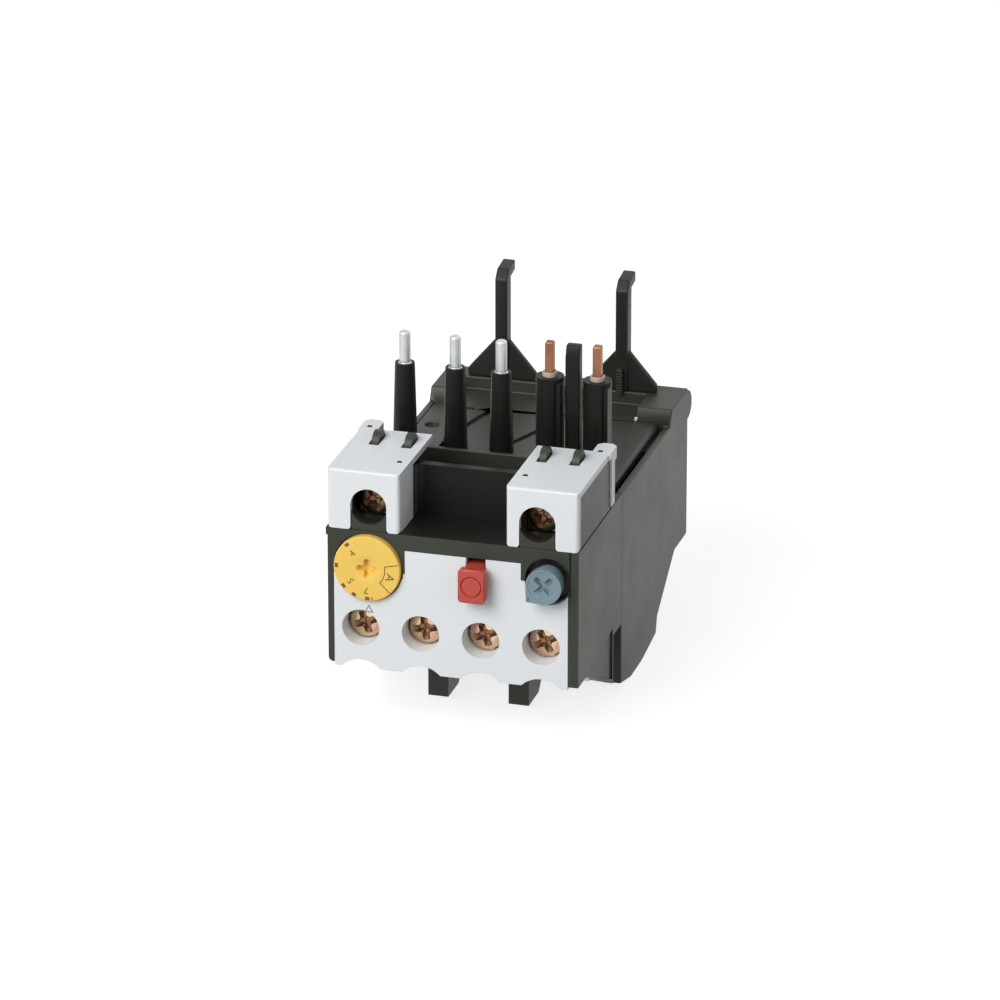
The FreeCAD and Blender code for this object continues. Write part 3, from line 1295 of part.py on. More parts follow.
def place_and_write():
    """Move every piece to the row's origin, check it, and write it."""
    for piece in PIECES:
        across, back, up = STARTS.get(piece.Label, ("0", "0", "0"))
        set_formula(piece, "Placement.Base.x", across)
        set_formula(piece, "Placement.Base.y", back + "+(stop_proud-rear_y-bead_out)/2")
        set_formula(piece, "Placement.Base.z", up + "+base_drop")
    doc.recompute()
    for item in doc.Objects:
        if "Invalid" in item.State or "Error" in item.State:
            raise ValueError("%s failed: %s" % (item.Name, item.State))
    os.makedirs("parts", exist_ok=True)
    for piece in PIECES:
        if piece.Shape.isNull() or not piece.Shape.isValid():
            raise ValueError("%s has no valid shape" % piece.Label)
        piece.Shape.exportStep("parts/%s.step" % piece.Label)


main()
place_and_write()
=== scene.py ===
"""Looks of the thermal overload relay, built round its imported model."""
import json
import math

import bmesh
import bpy
from mathutils import Matrix, Vector


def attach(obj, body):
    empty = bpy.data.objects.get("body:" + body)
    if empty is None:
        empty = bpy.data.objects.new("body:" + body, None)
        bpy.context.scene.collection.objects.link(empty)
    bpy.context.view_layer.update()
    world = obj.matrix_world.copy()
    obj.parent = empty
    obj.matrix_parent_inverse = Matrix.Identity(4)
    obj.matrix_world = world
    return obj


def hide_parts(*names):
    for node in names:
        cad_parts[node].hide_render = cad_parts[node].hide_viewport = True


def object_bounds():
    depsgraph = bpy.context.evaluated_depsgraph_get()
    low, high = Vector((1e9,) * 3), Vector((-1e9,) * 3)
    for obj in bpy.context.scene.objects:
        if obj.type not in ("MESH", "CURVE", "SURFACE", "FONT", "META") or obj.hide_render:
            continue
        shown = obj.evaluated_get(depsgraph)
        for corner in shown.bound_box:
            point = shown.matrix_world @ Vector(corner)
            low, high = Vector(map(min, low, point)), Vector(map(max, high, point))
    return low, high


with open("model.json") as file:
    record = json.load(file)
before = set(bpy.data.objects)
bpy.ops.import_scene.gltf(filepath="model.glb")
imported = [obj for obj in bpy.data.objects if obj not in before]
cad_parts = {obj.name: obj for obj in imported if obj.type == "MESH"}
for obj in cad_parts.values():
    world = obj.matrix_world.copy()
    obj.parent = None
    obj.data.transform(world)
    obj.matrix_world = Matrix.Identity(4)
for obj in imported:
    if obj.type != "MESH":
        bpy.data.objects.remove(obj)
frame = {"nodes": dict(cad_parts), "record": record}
cad_low, cad_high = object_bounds()

MM = 0.001

# ---------------------------------------------------------------- camera

CAMERA_AZIMUTH = math.radians(15.88)
CAMERA_ELEVATION = math.radians(21.67)
CAMERA_DISTANCE = 1.2
CAMERA_AIM = Vector((-0.0007, -0.0052, 0.0327))
CAMERA_LENS = 245.0
CAMERA_REACH = 10.0
SENSOR_WIDTH = 36.0


def towards(azimuth, elevation):
    """Unit vector from the object to a place right of and above its front."""
    level = math.cos(elevation)
    return Vector((math.sin(azimuth) * level, -math.cos(azimuth) * level, math.sin(elevation)))


def aim(thing, target):
    """Turn a camera or lamp so that it looks at a point."""
    thing.rotation_euler = (target - thing.location).to_track_quat("-Z", "Y").to_euler()


def make_camera():
    camera = bpy.data.objects.new("camera", bpy.data.cameras.new("camera"))
    camera.data.lens = CAMERA_LENS
    camera.data.sensor_width = SENSOR_WIDTH
    camera.data.clip_end = CAMERA_REACH
    camera.location = CAMERA_AIM + CAMERA_DISTANCE * towards(CAMERA_AZIMUTH, CAMERA_ELEVATION)
    aim(camera, CAMERA_AIM)
    bpy.context.scene.collection.objects.link(camera)
    bpy.context.scene.camera = camera


# ---------------------------------------------------------------- shader nodes


def shader_node(tree, kind, inputs=None, **settings):
    """A node with its settings and inputs; an input is a socket to link or a plain value."""
    node = tree.nodes.new(kind)
    for name, setting in settings.items():
        setattr(node, name, setting)
    for name, given in (inputs or {}).items():
        if isinstance(given, bpy.types.NodeSocket):
            tree.links.new(given, node.inputs[name])
        else:
            node.inputs[name].default_value = given
    return node


def node_group(name, inputs, outputs):
    """An empty group with named sockets: returns the tree, its input node and its output node."""
    tree = bpy.data.node_groups.new(name, "ShaderNodeTree")
    for socket, kind, default in inputs:
        made = tree.interface.new_socket(socket, in_out="INPUT", socket_type=kind)
        made.default_value = default
    for socket, kind in outputs:
        tree.interface.new_socket(socket, in_out="OUTPUT", socket_type=kind)
    return tree, tree.nodes.new("NodeGroupInput"), tree.nodes.new("NodeGroupOutput")


def moulded_surface():
    """Fine spark-eroded grain with cloudy patches, as on moulded plastic."""
    tree, given, result = node_group(
        "moulded surface",
        [("Colour", "NodeSocketColor", (0.5, 0.5, 0.5, 1.0)),
         ("Patch colour", "NodeSocketColor", (0.5, 0.5, 0.5, 1.0)),
         ("Patches", "NodeSocketFloat", 60.0),
         ("Grain", "NodeSocketFloat", 4000.0),
         ("Grain depth", "NodeSocketFloat", 0.3),
         ("Roughness", "NodeSocketFloat", 0.5)],
        [("Colour", "NodeSocketColor"), ("Roughness", "NodeSocketFloat"),
         ("Normal", "NodeSocketVector")])
    place = shader_node(tree, "ShaderNodeTexCoord").outputs["Object"]
    cloud = shader_node(tree, "ShaderNodeTexNoise",
                        {"Vector": place, "Scale": given.outputs["Patches"], "Detail": 5.0,
                         "Roughness": 0.6})
    grain = shader_node(tree, "ShaderNodeTexNoise",
                        {"Vector": place, "Scale": given.outputs["Grain"], "Detail": 2.0})
    patch = shader_node(tree, "ShaderNodeMapRange",
                        {"Value": cloud.outputs["Fac"], "From Min": 0.38, "From Max": 0.68})
    colour = shader_node(tree, "ShaderNodeMix", data_type="RGBA")
    tree.links.new(patch.outputs["Result"], colour.inputs["Factor"])
    tree.links.new(given.outputs["Colour"], colour.inputs["A"])
    tree.links.new(given.outputs["Patch colour"], colour.inputs["B"])
    speck = shader_node(tree, "ShaderNodeMapRange",
                        {"Value": grain.outputs["Fac"], "From Min": 0.3, "From Max": 0.7,
                         "To Min": -0.06, "To Max": 0.06})
    spread = shader_node(tree, "ShaderNodeMapRange",
                         {"Value": cloud.outputs["Fac"], "From Min": 0.3, "From Max": 0.7,
                          "To Min": -0.05, "To Max": 0.05})
    rough = shader_node(tree, "ShaderNodeMath", {0: given.outputs["Roughness"],
                                                 1: speck.outputs["Result"]}, operation="ADD")
    rougher = shader_node(tree, "ShaderNodeMath", {0: rough.outputs[0],
                                                   1: spread.outputs["Result"]}, operation="ADD")
    bump = shader_node(tree, "ShaderNodeBump",
                       {"Strength": given.outputs["Grain depth"], "Distance": 0.02 * MM,
                        "Height": grain.outputs["Fac"]})
    tree.links.new(colour.outputs["Result"], result.inputs["Colour"])
    tree.links.new(rougher.outputs[0], result.inputs["Roughness"])
    tree.links.new(bump.outputs["Normal"], result.inputs["Normal"])
    return tree


def drawn_metal():
    """Fine streaks along one direction with a blotchy change of colour, as on plated parts."""
    tree, given, result = node_group(
        "drawn metal",
        [("Colour", "NodeSocketColor", (0.5, 0.5, 0.5, 1.0)),
         ("Blotch colour", "NodeSocketColor", (0.5, 0.5, 0.5, 1.0)),
         ("Blotches", "NodeSocketFloat", 300.0),
         ("Streak scale", "NodeSocketVector", (4000.0, 4000.0, 200.0)),
         ("Streak depth", "NodeSocketFloat", 0.2),
         ("Roughness", "NodeSocketFloat", 0.3)],
        [("Colour", "NodeSocketColor"), ("Roughness", "NodeSocketFloat"),
         ("Normal", "NodeSocketVector")])
    place = shader_node(tree, "ShaderNodeTexCoord").outputs["Object"]
    stretched = shader_node(tree, "ShaderNodeVectorMath",
                            {0: place, 1: given.outputs["Streak scale"]}, operation="MULTIPLY")
    streak = shader_node(tree, "ShaderNodeTexNoise",
                         {"Vector": stretched.outputs[0], "Scale": 1.0, "Detail": 3.0})
    blotch = shader_node(tree, "ShaderNodeTexNoise",
                         {"Vector": place, "Scale": given.outputs["Blotches"], "Detail": 3.0})
    share = shader_node(tree, "ShaderNodeMapRange",
                        {"Value": blotch.outputs["Fac"], "From Min": 0.4, "From Max": 0.62})
    colour = shader_node(tree, "ShaderNodeMix", data_type="RGBA")
    tree.links.new(share.outputs["Result"], colour.inputs["Factor"])
    tree.links.new(given.outputs["Colour"], colour.inputs["A"])
    tree.links.new(given.outputs["Blotch colour"], colour.inputs["B"])
    spread = shader_node(tree, "ShaderNodeMapRange",
                         {"Value": streak.outputs["Fac"], "From Min": 0.3, "From Max": 0.7,
                          "To Min": -0.08, "To Max": 0.1})
    rough = shader_node(tree, "ShaderNodeMath", {0: given.outputs["Roughness"],
                                                 1: spread.outputs["Result"]}, operation="ADD")
    bump = shader_node(tree, "ShaderNodeBump",
                       {"Strength": given.outputs["Streak depth"], "Distance": 0.01 * MM,
                        "Height": streak.outputs["Fac"]})
    tree.links.new(colour.outputs["Result"], result.inputs["Colour"])
    tree.links.new(rough.outputs[0], result.inputs["Roughness"])
    tree.links.new(bump.outputs["Normal"], result.inputs["Normal"])
    return tree


GROUPS = {"moulded": moulded_surface(), "drawn": drawn_metal()}


def finished_material(name, group, values, **plain):
    """A Principled material fed by one of the surface groups."""
    material = bpy.data.materials.new(name)
    material.use_nodes = True
    tree = material.node_tree
    shader = tree.nodes["Principled BSDF"]
    surface = tree.nodes.new("ShaderNodeGroup")
    surface.node_tree = GROUPS[group]
    for socket, given in values.items():
        surface.inputs[socket].default_value = given
    tree.links.new(surface.outputs["Colour"], shader.inputs["Base Color"])
    tree.links.new(surface.outputs["Roughness"], shader.inputs["Roughness"])
    tree.links.new(surface.outputs["Normal"], shader.inputs["Normal"])
    for socket, given in plain.items():
        shader.inputs[socket.replace("_", " ")].default_value = given
    return material


def rgba(red, green, blue):
    return (red, green, blue, 1.0)


def plastic(name, colour, patch, roughness, grain=4000.0, depth=0.3, **plain):
    return finished_material(name, "moulded",
                             {"Colour": colour, "Patch colour": patch, "Grain": grain,
                              "Grain depth": depth, "Roughness": roughness}, **plain)


def metal(name, colour, blotch, roughness, streaks, depth=0.2, blotches=300.0):
    return finished_material(name, "drawn",
                             {"Colour": colour, "Blotch colour": blotch, "Blotches": blotches,
                              "Streak scale": streaks, "Streak depth": depth,
                              "Roughness": roughness}, Metallic=1.0)


# streaks of drawn metal: fine across, long in one direction
FINE = 4000.0
LONG = 150.0
ALONG_Z = (FINE, FINE, LONG)
ALONG_Y = (FINE, LONG, FINE)
ALONG_X = (LONG, FINE, FINE)
SATIN_GRAIN = 2500.0
COARSE_GRAIN = 3200.0
SMALL_BLOTCHES = 420.0

MATERIALS = {
    "black_plastic": plastic("black_plastic", rgba(0.030, 0.033, 0.024), rgba(0.024, 0.026, 0.019),
                             0.45, grain=COARSE_GRAIN, depth=0.5, Specular_IOR_Level=0.33),
    "white_plastic": plastic("white_plastic", rgba(0.76, 0.785, 0.80), rgba(0.74, 0.77, 0.785),
                             0.45, grain=SATIN_GRAIN, depth=0.12),
    "yellow_plastic": plastic("yellow_plastic", rgba(0.88, 0.58, 0.115), rgba(0.85, 0.55, 0.105),
                              0.38, grain=SATIN_GRAIN, depth=0.1),
    "red_plastic": plastic("red_plastic", rgba(0.50, 0.062, 0.040), rgba(0.47, 0.055, 0.036),
                           0.33, grain=SATIN_GRAIN, depth=0.08),
    "blue_plastic": plastic("blue_plastic", rgba(0.19, 0.275, 0.32), rgba(0.17, 0.25, 0.295),
                            0.28, grain=SATIN_GRAIN, depth=0.08),
    "cream_plastic": plastic("cream_plastic", rgba(0.50, 0.43, 0.33), rgba(0.46, 0.39, 0.30), 0.4),
    "grey_plastic": plastic("grey_plastic", rgba(0.20, 0.20, 0.19), rgba(0.18, 0.18, 0.17), 0.45),
    "ceramic": plastic("ceramic", rgba(0.62, 0.60, 0.54), rgba(0.55, 0.52, 0.45), 0.7, depth=0.8),
    "tinned_copper": metal("tinned_copper", rgba(0.60, 0.62, 0.62), rgba(0.54, 0.56, 0.56), 0.4,
                           ALONG_Z),
    "copper": metal("copper", rgba(0.31, 0.145, 0.085), rgba(0.25, 0.11, 0.062), 0.38, ALONG_Z),
    "yellow_zinc": metal("yellow_zinc", rgba(0.72, 0.56, 0.33), rgba(0.70, 0.42, 0.33), 0.3,
                         ALONG_X, blotches=SMALL_BLOTCHES),
    "steel": metal("steel", rgba(0.50, 0.50, 0.50), rgba(0.42, 0.42, 0.42), 0.35, ALONG_X),
    "bimetal": metal("bimetal", rgba(0.46, 0.44, 0.41), rgba(0.38, 0.35, 0.31), 0.4, ALONG_Z),
    "brass": metal("brass", rgba(0.66, 0.48, 0.22), rgba(0.55, 0.38, 0.17), 0.35, ALONG_Y),
    "silver": metal("silver", rgba(0.70, 0.70, 0.69), rgba(0.62, 0.62, 0.61), 0.3, ALONG_Y),
}

SLOT_OF = {part["node"]: part["material_slot"] for part in frame["record"]["subparts"]}


# ---------------------------------------------------------------- making pieces


def body_name(node):
    """The body that a CAD node rides on."""
    for body, nodes in frame["record"]["behaviour"]["bodies"].items():
        if node in nodes:
            return body
    raise KeyError(node)


def finish_piece(name, bm, node, material=None):
    """Turn a bmesh into a named piece that rides on the body of `node` and takes its slot."""
    bmesh.ops.recalc_face_normals(bm, faces=bm.faces)
    mesh = bpy.data.meshes.new(name)
    bm.to_mesh(mesh)
    bm.free()
    mesh.materials.append(material or MATERIALS[SLOT_OF[node]])
    piece = bpy.data.objects.new(name, mesh)
    bpy.context.scene.collection.objects.link(piece)
    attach(piece, body_name(node))
    return piece


JOIN_MESH = 0.002 * MM
JOIN_LATHE = 0.001 * MM
FLAT_ANGLE = math.radians(1.0)


def merged_copy(node):
    """A bmesh of a CAD node with its loose triangles joined and its flat faces made whole."""
    bm = bmesh.new()
    bm.from_mesh(frame["nodes"][node].data)
    bmesh.ops.remove_doubles(bm, verts=bm.verts, dist=JOIN_MESH)
    bmesh.ops.dissolve_limit(bm, angle_limit=FLAT_ANGLE, verts=bm.verts, edges=bm.edges,
                             delimit={"NORMAL"})
    return bm


def soften(piece, width, segments=2, angle=35.0):
    """Rounded edges that catch the light."""
    bevel = piece.modifiers.new("soft edges", "BEVEL")
    bevel.width = width
    bevel.segments = segments
    bevel.limit_method = "ANGLE"
    bevel.angle_limit = math.radians(angle)
    bevel.use_clamp_overlap = True
    bevel.harden_normals = True
    for face in piece.data.polygons:
        face.use_smooth = True
    smooth = piece.modifiers.new("shading", "WEIGHTED_NORMAL")
    smooth.keep_sharp = True


def softened_node(node, width):
    """A copy of a CAD node with rounded edges that stands for it."""
    piece = finish_piece(node + "_moulded", merged_copy(node), node)
    soften(piece, width)
    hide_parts(node)
    return piece


# ---------------------------------------------------------------- shapes

# the drawing's origin, at the front lower edge of the face plate, in the row's frame
PLATE_Y = -37.5
PLATE_Z = 12.3


def place(x, y, z):
    """A point given in millimetres from the front lower edge of the face plate."""
    return Vector((x, y + PLATE_Y, z + PLATE_Z)) * MM


def turned(x, z, profile, steps=48):
    """A lathe shape on the front-to-back axis; its profile is pairs of radius and depth."""
    bm = bmesh.new()
    verts = [bm.verts.new(place(x + radius, depth, z)) for radius, depth in profile]
    edges = [bm.edges.new(pair) for pair in zip(verts, verts[1:])]
    bmesh.ops.spin(bm, geom=verts + edges, cent=place(x, 0, z), axis=(0, 1, 0),
                   angle=2 * math.pi, steps=steps, use_merge=True)
    bmesh.ops.remove_doubles(bm, verts=bm.verts, dist=JOIN_LATHE)
    bmesh.ops.recalc_face_normals(bm, faces=bm.faces)
    return bm


def upright(x, y, profile, steps=48):
    """A lathe shape on an upright axis; its profile is pairs of radius and height."""
    bm = bmesh.new()
    verts = [bm.verts.new(place(x + radius, y, height)) for radius, height in profile]
    edges = [bm.edges.new(pair) for pair in zip(verts, verts[1:])]
    bmesh.ops.spin(bm, geom=verts + edges, cent=place(x, y, 0), axis=(0, 0, 1),
                   angle=2 * math.pi, steps=steps, use_merge=True)
    bmesh.ops.remove_doubles(bm, verts=bm.verts, dist=JOIN_LATHE)
    bmesh.ops.recalc_face_normals(bm, faces=bm.faces)
    return bm


def block(low, high, narrowing=1.0, turn=0.0):
    """A box between two corners, with its rear face narrowed and the box turned on demand."""
    bm = bmesh.new()
    low, high = place(*low), place(*high)
    middle = (low + high) / 2
    bmesh.ops.create_cube(bm, size=1.0, matrix=Matrix.Translation(middle)
                          @ Matrix.Diagonal((high - low).to_4d()))
    rear = [vert for vert in bm.verts if vert.co.y > middle.y]
    bmesh.ops.scale(bm, verts=rear, vec=(narrowing, 1.0, narrowing),
                    space=Matrix.Translation(-middle))
    bmesh.ops.rotate(bm, verts=bm.verts, cent=middle, matrix=Matrix.Rotation(-turn, 3, "Y"))
    return bm


RECESS_LIFT = 0.5
NEARLY = 0.9


def cross_recess(x, front, z, long, wide, deep, narrowing, turn, corner):
    """Two tapered cutters that leave a cross with rounded ends, sized at the surface."""
    flare = 1 + (1 - narrowing) * RECESS_LIFT / deep
    cutters = []
    for quarter in (0.0, 90.0):
        cutter = block((x - flare * long / 2, front - RECESS_LIFT, z - flare * wide / 2),
                       (x + flare * long / 2, front + deep, z + flare * wide / 2),
                       narrowing=narrowing / flare, turn=math.radians(turn + quarter))
        sides = [edge for edge in cutter.edges
                 if abs((edge.verts[0].co - edge.verts[1].co).y) > NEARLY * deep * MM]
        bmesh.ops.bevel(cutter, geom=sides, offset=corner * MM, offset_type="OFFSET", segments=3,
                        profile=0.5, affect="EDGES", material=-1)
        cutters.append(cutter)
    return cutters


ACROSS = {
    "X": lambda y, z, x: place(x, y, z),
    "Y": lambda x, z, y: place(x, y, z),
    "Z": lambda x, y, z: place(x, y, z),
}


def slab(points, start, end, axis="Y"):
    """A plate with the given outline across an axis, from one place along it to another."""
    at = ACROSS[axis]
    bm = bmesh.new()
    face = bm.faces.new([bm.verts.new(at(one, other, start)) for one, other in points])
    made = bmesh.ops.extrude_face_region(bm, geom=[face])
    moved = [item for item in made["geom"] if isinstance(item, bmesh.types.BMVert)]
    bmesh.ops.translate(bm, verts=moved, vec=at(0, 0, end) - at(0, 0, start))
    bmesh.ops.recalc_face_normals(bm, faces=bm.faces)
    return bm


CORNER_STEPS = 8
CORNER_LIFT = 0.4


def corner_cut(corner, outwards, radius, start, end, axis="Y"):
    """A cutter that rounds a corner along an axis; corner and direction are given across it."""
    middle = [at - out * radius for at, out in zip(corner, outwards)]
    beyond = [at + out * CORNER_LIFT for at, out in zip(corner, outwards)]
    points = [(beyond[0], middle[1])]
    for step in range(CORNER_STEPS + 1):
        turn = math.pi / 2 * step / CORNER_STEPS
        points.append((middle[0] + outwards[0] * radius * math.cos(turn),
                       middle[1] + outwards[1] * radius * math.sin(turn)))
    points += [(middle[0], beyond[1]), (beyond[0], beyond[1])]
    return slab(points, start, end, axis)


def paint(piece, material, chosen):
    """Give another material to the faces whose middle passes a test in drawing millimetres; here
    it is always a darker one for painted shade.
    """
    piece.data.materials.append(material)
    origin = place(0, 0, 0)
    for face in piece.data.polygons:
        if chosen((face.center - origin) / MM):
            face.material_index = len(piece.data.materials) - 1


def joined(parts):
    """Several shapes in one mesh."""
    whole = bmesh.new()
    for part in parts:
        mesh = bpy.data.meshes.new("part")
        part.to_mesh(mesh)
        part.free()
        whole.from_mesh(mesh)
        bpy.data.meshes.remove(mesh)
    return whole


def loose_object(name, bm):
    mesh = bpy.data.meshes.new(name)
    bm.to_mesh(mesh)
    bm.free()
    thing = bpy.data.objects.new(name, mesh)
    bpy.context.scene.collection.objects.link(thing)
    return thing


def carved(bm, *cutters):
    """The shape with the cutters taken out of it, one after another."""
    stock = loose_object("stock", bm)
    tools = [loose_object("tool", cutter) for cutter in cutters]
    for tool in tools:
        cut = stock.modifiers.new("cut", "BOOLEAN")
        cut.operation = "DIFFERENCE"
        cut.solver = "EXACT"
        cut.object = tool
    bpy.context.view_layer.update()
    result = bmesh.new()
    result.from_mesh(stock.evaluated_get(bpy.context.evaluated_depsgraph_get()).to_mesh())
    for thing in [stock] + tools:
        mesh = thing.data
        bpy.data.objects.remove(thing)
        bpy.data.meshes.remove(mesh)
    return result


def shade(piece, angle=35.0):
    """Smooth shading with crisp corners."""
    for face in piece.data.polygons:
        face.use_smooth = True
    piece.data.set_sharp_from_angle(angle=math.radians(angle))


def ring_points(x, z, radius, count=48, start=0.0, sweep=2 * math.pi):
    """Points on a circle across the front, anticlockwise from the right."""
    return [(x + radius * math.cos(start + sweep * k / count),
             z + radius * math.sin(start + sweep * k / count)) for k in range(count)]


def written(words, x, y, z, height, turn=0.0):
    """Letters across the front, centred at a point, as a thin raised print."""
    curve = bpy.data.curves.new("words", "FONT")
    curve.body = words
    curve.size = height * MM * LETTER_SIZE
    curve.align_x = "CENTER"
    curve.align_y = "CENTER"
    curve.extrude = PRINT_THICK * MM / 2
    curve.resolution_u = 3
    thing = bpy.data.objects.new("words", curve)
    bpy.context.scene.collection.objects.link(thing)
    bpy.context.view_layer.update()
    bm = bmesh.new()
    bm.from_mesh(thing.evaluated_get(bpy.context.evaluated_depsgraph_get()).to_mesh())
    bpy.data.objects.remove(thing)
    bpy.data.curves.remove(curve)
    upright_turn = Matrix.Rotation(math.radians(90), 4, "X")
    bmesh.ops.transform(bm, verts=bm.verts, matrix=Matrix.Translation(place(x, y, z))
                        @ Matrix.Rotation(-turn, 4, "Y") @ upright_turn)
    return bm


LETTER_SIZE = 1.45
PRINT_THICK = 0.03


# ---------------------------------------------------------------- stage


SOFT_LIGHT = 0.2


def seen_directly(tree):
    """Light path node, and 1 for rays that come from the camera or off a shiny face."""
    rays = shader_node(tree, "ShaderNodeLightPath")
    seen = shader_node(tree, "ShaderNodeMath",
                       {0: rays.outputs["Is Camera Ray"], 1: rays.outputs["Is Glossy Ray"]},
                       operation="MAXIMUM")
    return rays, seen.outputs[0]


def make_world():
    world = bpy.data.worlds.new("studio")
    bpy.context.scene.world = world
    world.use_nodes = True
    tree = world.node_tree
    tree.nodes.clear()
    rays, seen = seen_directly(tree)
    shown = shader_node(tree, "ShaderNodeMath", {0: seen,
                                                 1: rays.outputs["Is Transmission Ray"]},
                        operation="MAXIMUM")
    white = shader_node(tree, "ShaderNodeBackground", {"Color": rgba(1, 1, 1), "Strength": 1.0})
    soft = shader_node(tree, "ShaderNodeBackground",
                       {"Color": rgba(0.95, 0.97, 1.0), "Strength": SOFT_LIGHT})
    mix = shader_node(tree, "ShaderNodeMixShader", {0: shown.outputs[0],
                                                    1: soft.outputs[0], 2: white.outputs[0]})
    shader_node(tree, "ShaderNodeOutputWorld", {"Surface": mix.outputs[0]})


LAMPS = (
    # name, azimuth, elevation, distance, width, height, watts
    ("key", -25.0, 35.0, 0.9, 0.6, 0.6, 7.5),
    ("fill", 62.0, 24.0, 1.0, 0.6, 0.8, 1.0),
    ("top", 8.0, 80.0, 0.9, 0.7, 0.7, 0.65),
    ("rim", 165.0, 38.0, 1.0, 0.6, 0.4, 0.8),
)


def make_lamps():
    middle = (cad_low + cad_high) / 2
    for name, azimuth, elevation, distance, width, height, watts in LAMPS:
        light = bpy.data.lights.new(name, "AREA")
        light.shape = "RECTANGLE"
        light.size = width
        light.size_y = height
        light.energy = watts
        lamp = bpy.data.objects.new(name, light)
        lamp.location = middle + distance * towards(math.radians(azimuth), math.radians(elevation))
        aim(lamp, middle)
        bpy.context.scene.collection.objects.link(lamp)


FLOOR_GLOW = 0.8
FLOOR_SHADE = 0.36
FLOOR_HALF = 3.0
FLOOR_ROUGHNESS = 0.9


def make_floor():
    bm = bmesh.new()
    bmesh.ops.create_grid(bm, x_segments=1, y_segments=1, size=FLOOR_HALF)
    mesh = bpy.data.meshes.new("floor")
    bm.to_mesh(mesh)
    bm.free()
    material = bpy.data.materials.new("floor")
    material.use_nodes = True
    tree = material.node_tree
    shader = tree.nodes["Principled BSDF"]
    shader.inputs["Base Color"].default_value = rgba(FLOOR_SHADE, FLOOR_SHADE, FLOOR_SHADE)
    shader.inputs["Roughness"].default_value = FLOOR_ROUGHNESS
    rays, seen = seen_directly(tree)
    glow = shader_node(tree, "ShaderNodeMath", {0: seen, 1: FLOOR_GLOW},
                       operation="MULTIPLY")
    shader.inputs["Emission Color"].default_value = rgba(1, 1, 1)
    tree.links.new(glow.outputs[0], shader.inputs["Emission Strength"])
    mesh.materials.append(material)
    floor = bpy.data.objects.new("floor", mesh)
    bpy.context.scene.collection.objects.link(floor)


# ---------------------------------------------------------------- the relay


def dress_nodes():
    """Every CAD node gets its finish."""
    for node, thing in frame["nodes"].items():
        for slot in thing.material_slots:
            slot.material = MATERIALS[SLOT_OF[node]]


# print inks, and darker materials that paint shade
TINTS = {
    "scale_ink": plastic("scale_ink", rgba(0.12, 0.075, 0.02), rgba(0.16, 0.10, 0.03), 0.6),
    "plate_ink": plastic("plate_ink", rgba(0.24, 0.24, 0.31), rgba(0.28, 0.28, 0.35), 0.6),
    # near-black with less sheen: painted shade on the apron, in the coil bores and pits, and on
    # the rear sleeves and finger
    "painted_shade_moulding": plastic("painted_shade_moulding", rgba(0.007, 0.008, 0.006), rgba(0.011, 0.012, 0.009),
                             0.42, grain=COARSE_GRAIN, depth=0.4, Specular_IOR_Level=0.16),
    # a little lighter than that: painted shade on the hooks
    "hook_shade_moulding": plastic("hook_shade_moulding", rgba(0.015, 0.016, 0.013), rgba(0.020, 0.021, 0.017),
                             0.42, grain=COARSE_GRAIN, depth=0.4, Specular_IOR_Level=0.22),
    # darker zinc for painted shade inside the screws' cross recesses
    "recess_shade_zinc": metal("recess_shade_zinc", rgba(0.34, 0.22, 0.13), rgba(0.28, 0.15, 0.10), 0.45,
                         ALONG_X, blotches=SMALL_BLOTCHES),
    # darker zinc for the coil screws: painted shade, as they sit deep in dark holes
    "deep_hole_shade_zinc": metal("deep_hole_shade_zinc", rgba(0.30, 0.21, 0.11), rgba(0.20, 0.12, 0.075), 0.36, ALONG_X,
                       blotches=SMALL_BLOTCHES),
}

# screws: place across, place up, turn of the recess in degrees
AUXILIARY_SCREWS = ((-16.63, 7.17, 20.0), (-5.82, 7.17, 8.0),
                    (4.99, 7.17, 20.0), (15.8, 7.17, 28.0))
COIL_SCREWS = ((-15.1, 29.85, 25.0), (15.1, 29.85, -20.0))
AUXILIARY_HEAD_Y = 2.8
COIL_HEAD_Y = 3.9
HEAD_RADIUS = 3.0
HEAD_THICK = 2.0
HEAD_DOME = 0.55
HEAD_SHOULDER = 0.25
HEAD_EDGE = 0.15
# the head's crown: pairs of radius and depth behind its top
CROWN = ((0, 0), (1.2, 0.03), (2.0, 0.14), (2.6, 0.38), (2.88, HEAD_DOME))
SHANK_RADIUS = 1.7
SHANK_LONG = 6.6
RECESS_LONG = 4.7
RECESS_WIDE = 1.35
RECESS_DEEP = 1.25
RECESS_CORNER = 0.3
RECESS_NARROWING = 0.55
RECESS_CONE = ((0, -0.5), (1.55, -0.5), (0, 2.0))
SCREW_SOFT = 0.06 * MM
SCREW_ANGLE = 40.0
# painted shade in the cross recesses: from this depth behind the head's top, within this reach of
# its axis, short of its back by the spare
RECESS_SHADE = 0.42
RECESS_REACH = 2.5
RECESS_SPARE = 0.1


def screw(x, front, z, turn):
    """A domed screw with a tapered cross recess."""
    back = front + HEAD_THICK
    crown = [(radius, front + depth) for radius, depth in CROWN]
    stock = turned(x, z, crown + [(HEAD_RADIUS, front + HEAD_DOME + HEAD_SHOULDER),
                                  (HEAD_RADIUS, back - HEAD_EDGE), (HEAD_RADIUS - HEAD_EDGE, back),
                                  (SHANK_RADIUS, back), (SHANK_RADIUS, back + SHANK_LONG),
                                  (0, back + SHANK_LONG)])
    cuts = cross_recess(x, front, z, RECESS_LONG, RECESS_WIDE, RECESS_DEEP, RECESS_NARROWING,
                        turn, RECESS_CORNER)
    cuts.append(turned(x, z, [(radius, front + depth) for radius, depth in RECESS_CONE], steps=16))
    return carved(stock, *cuts)


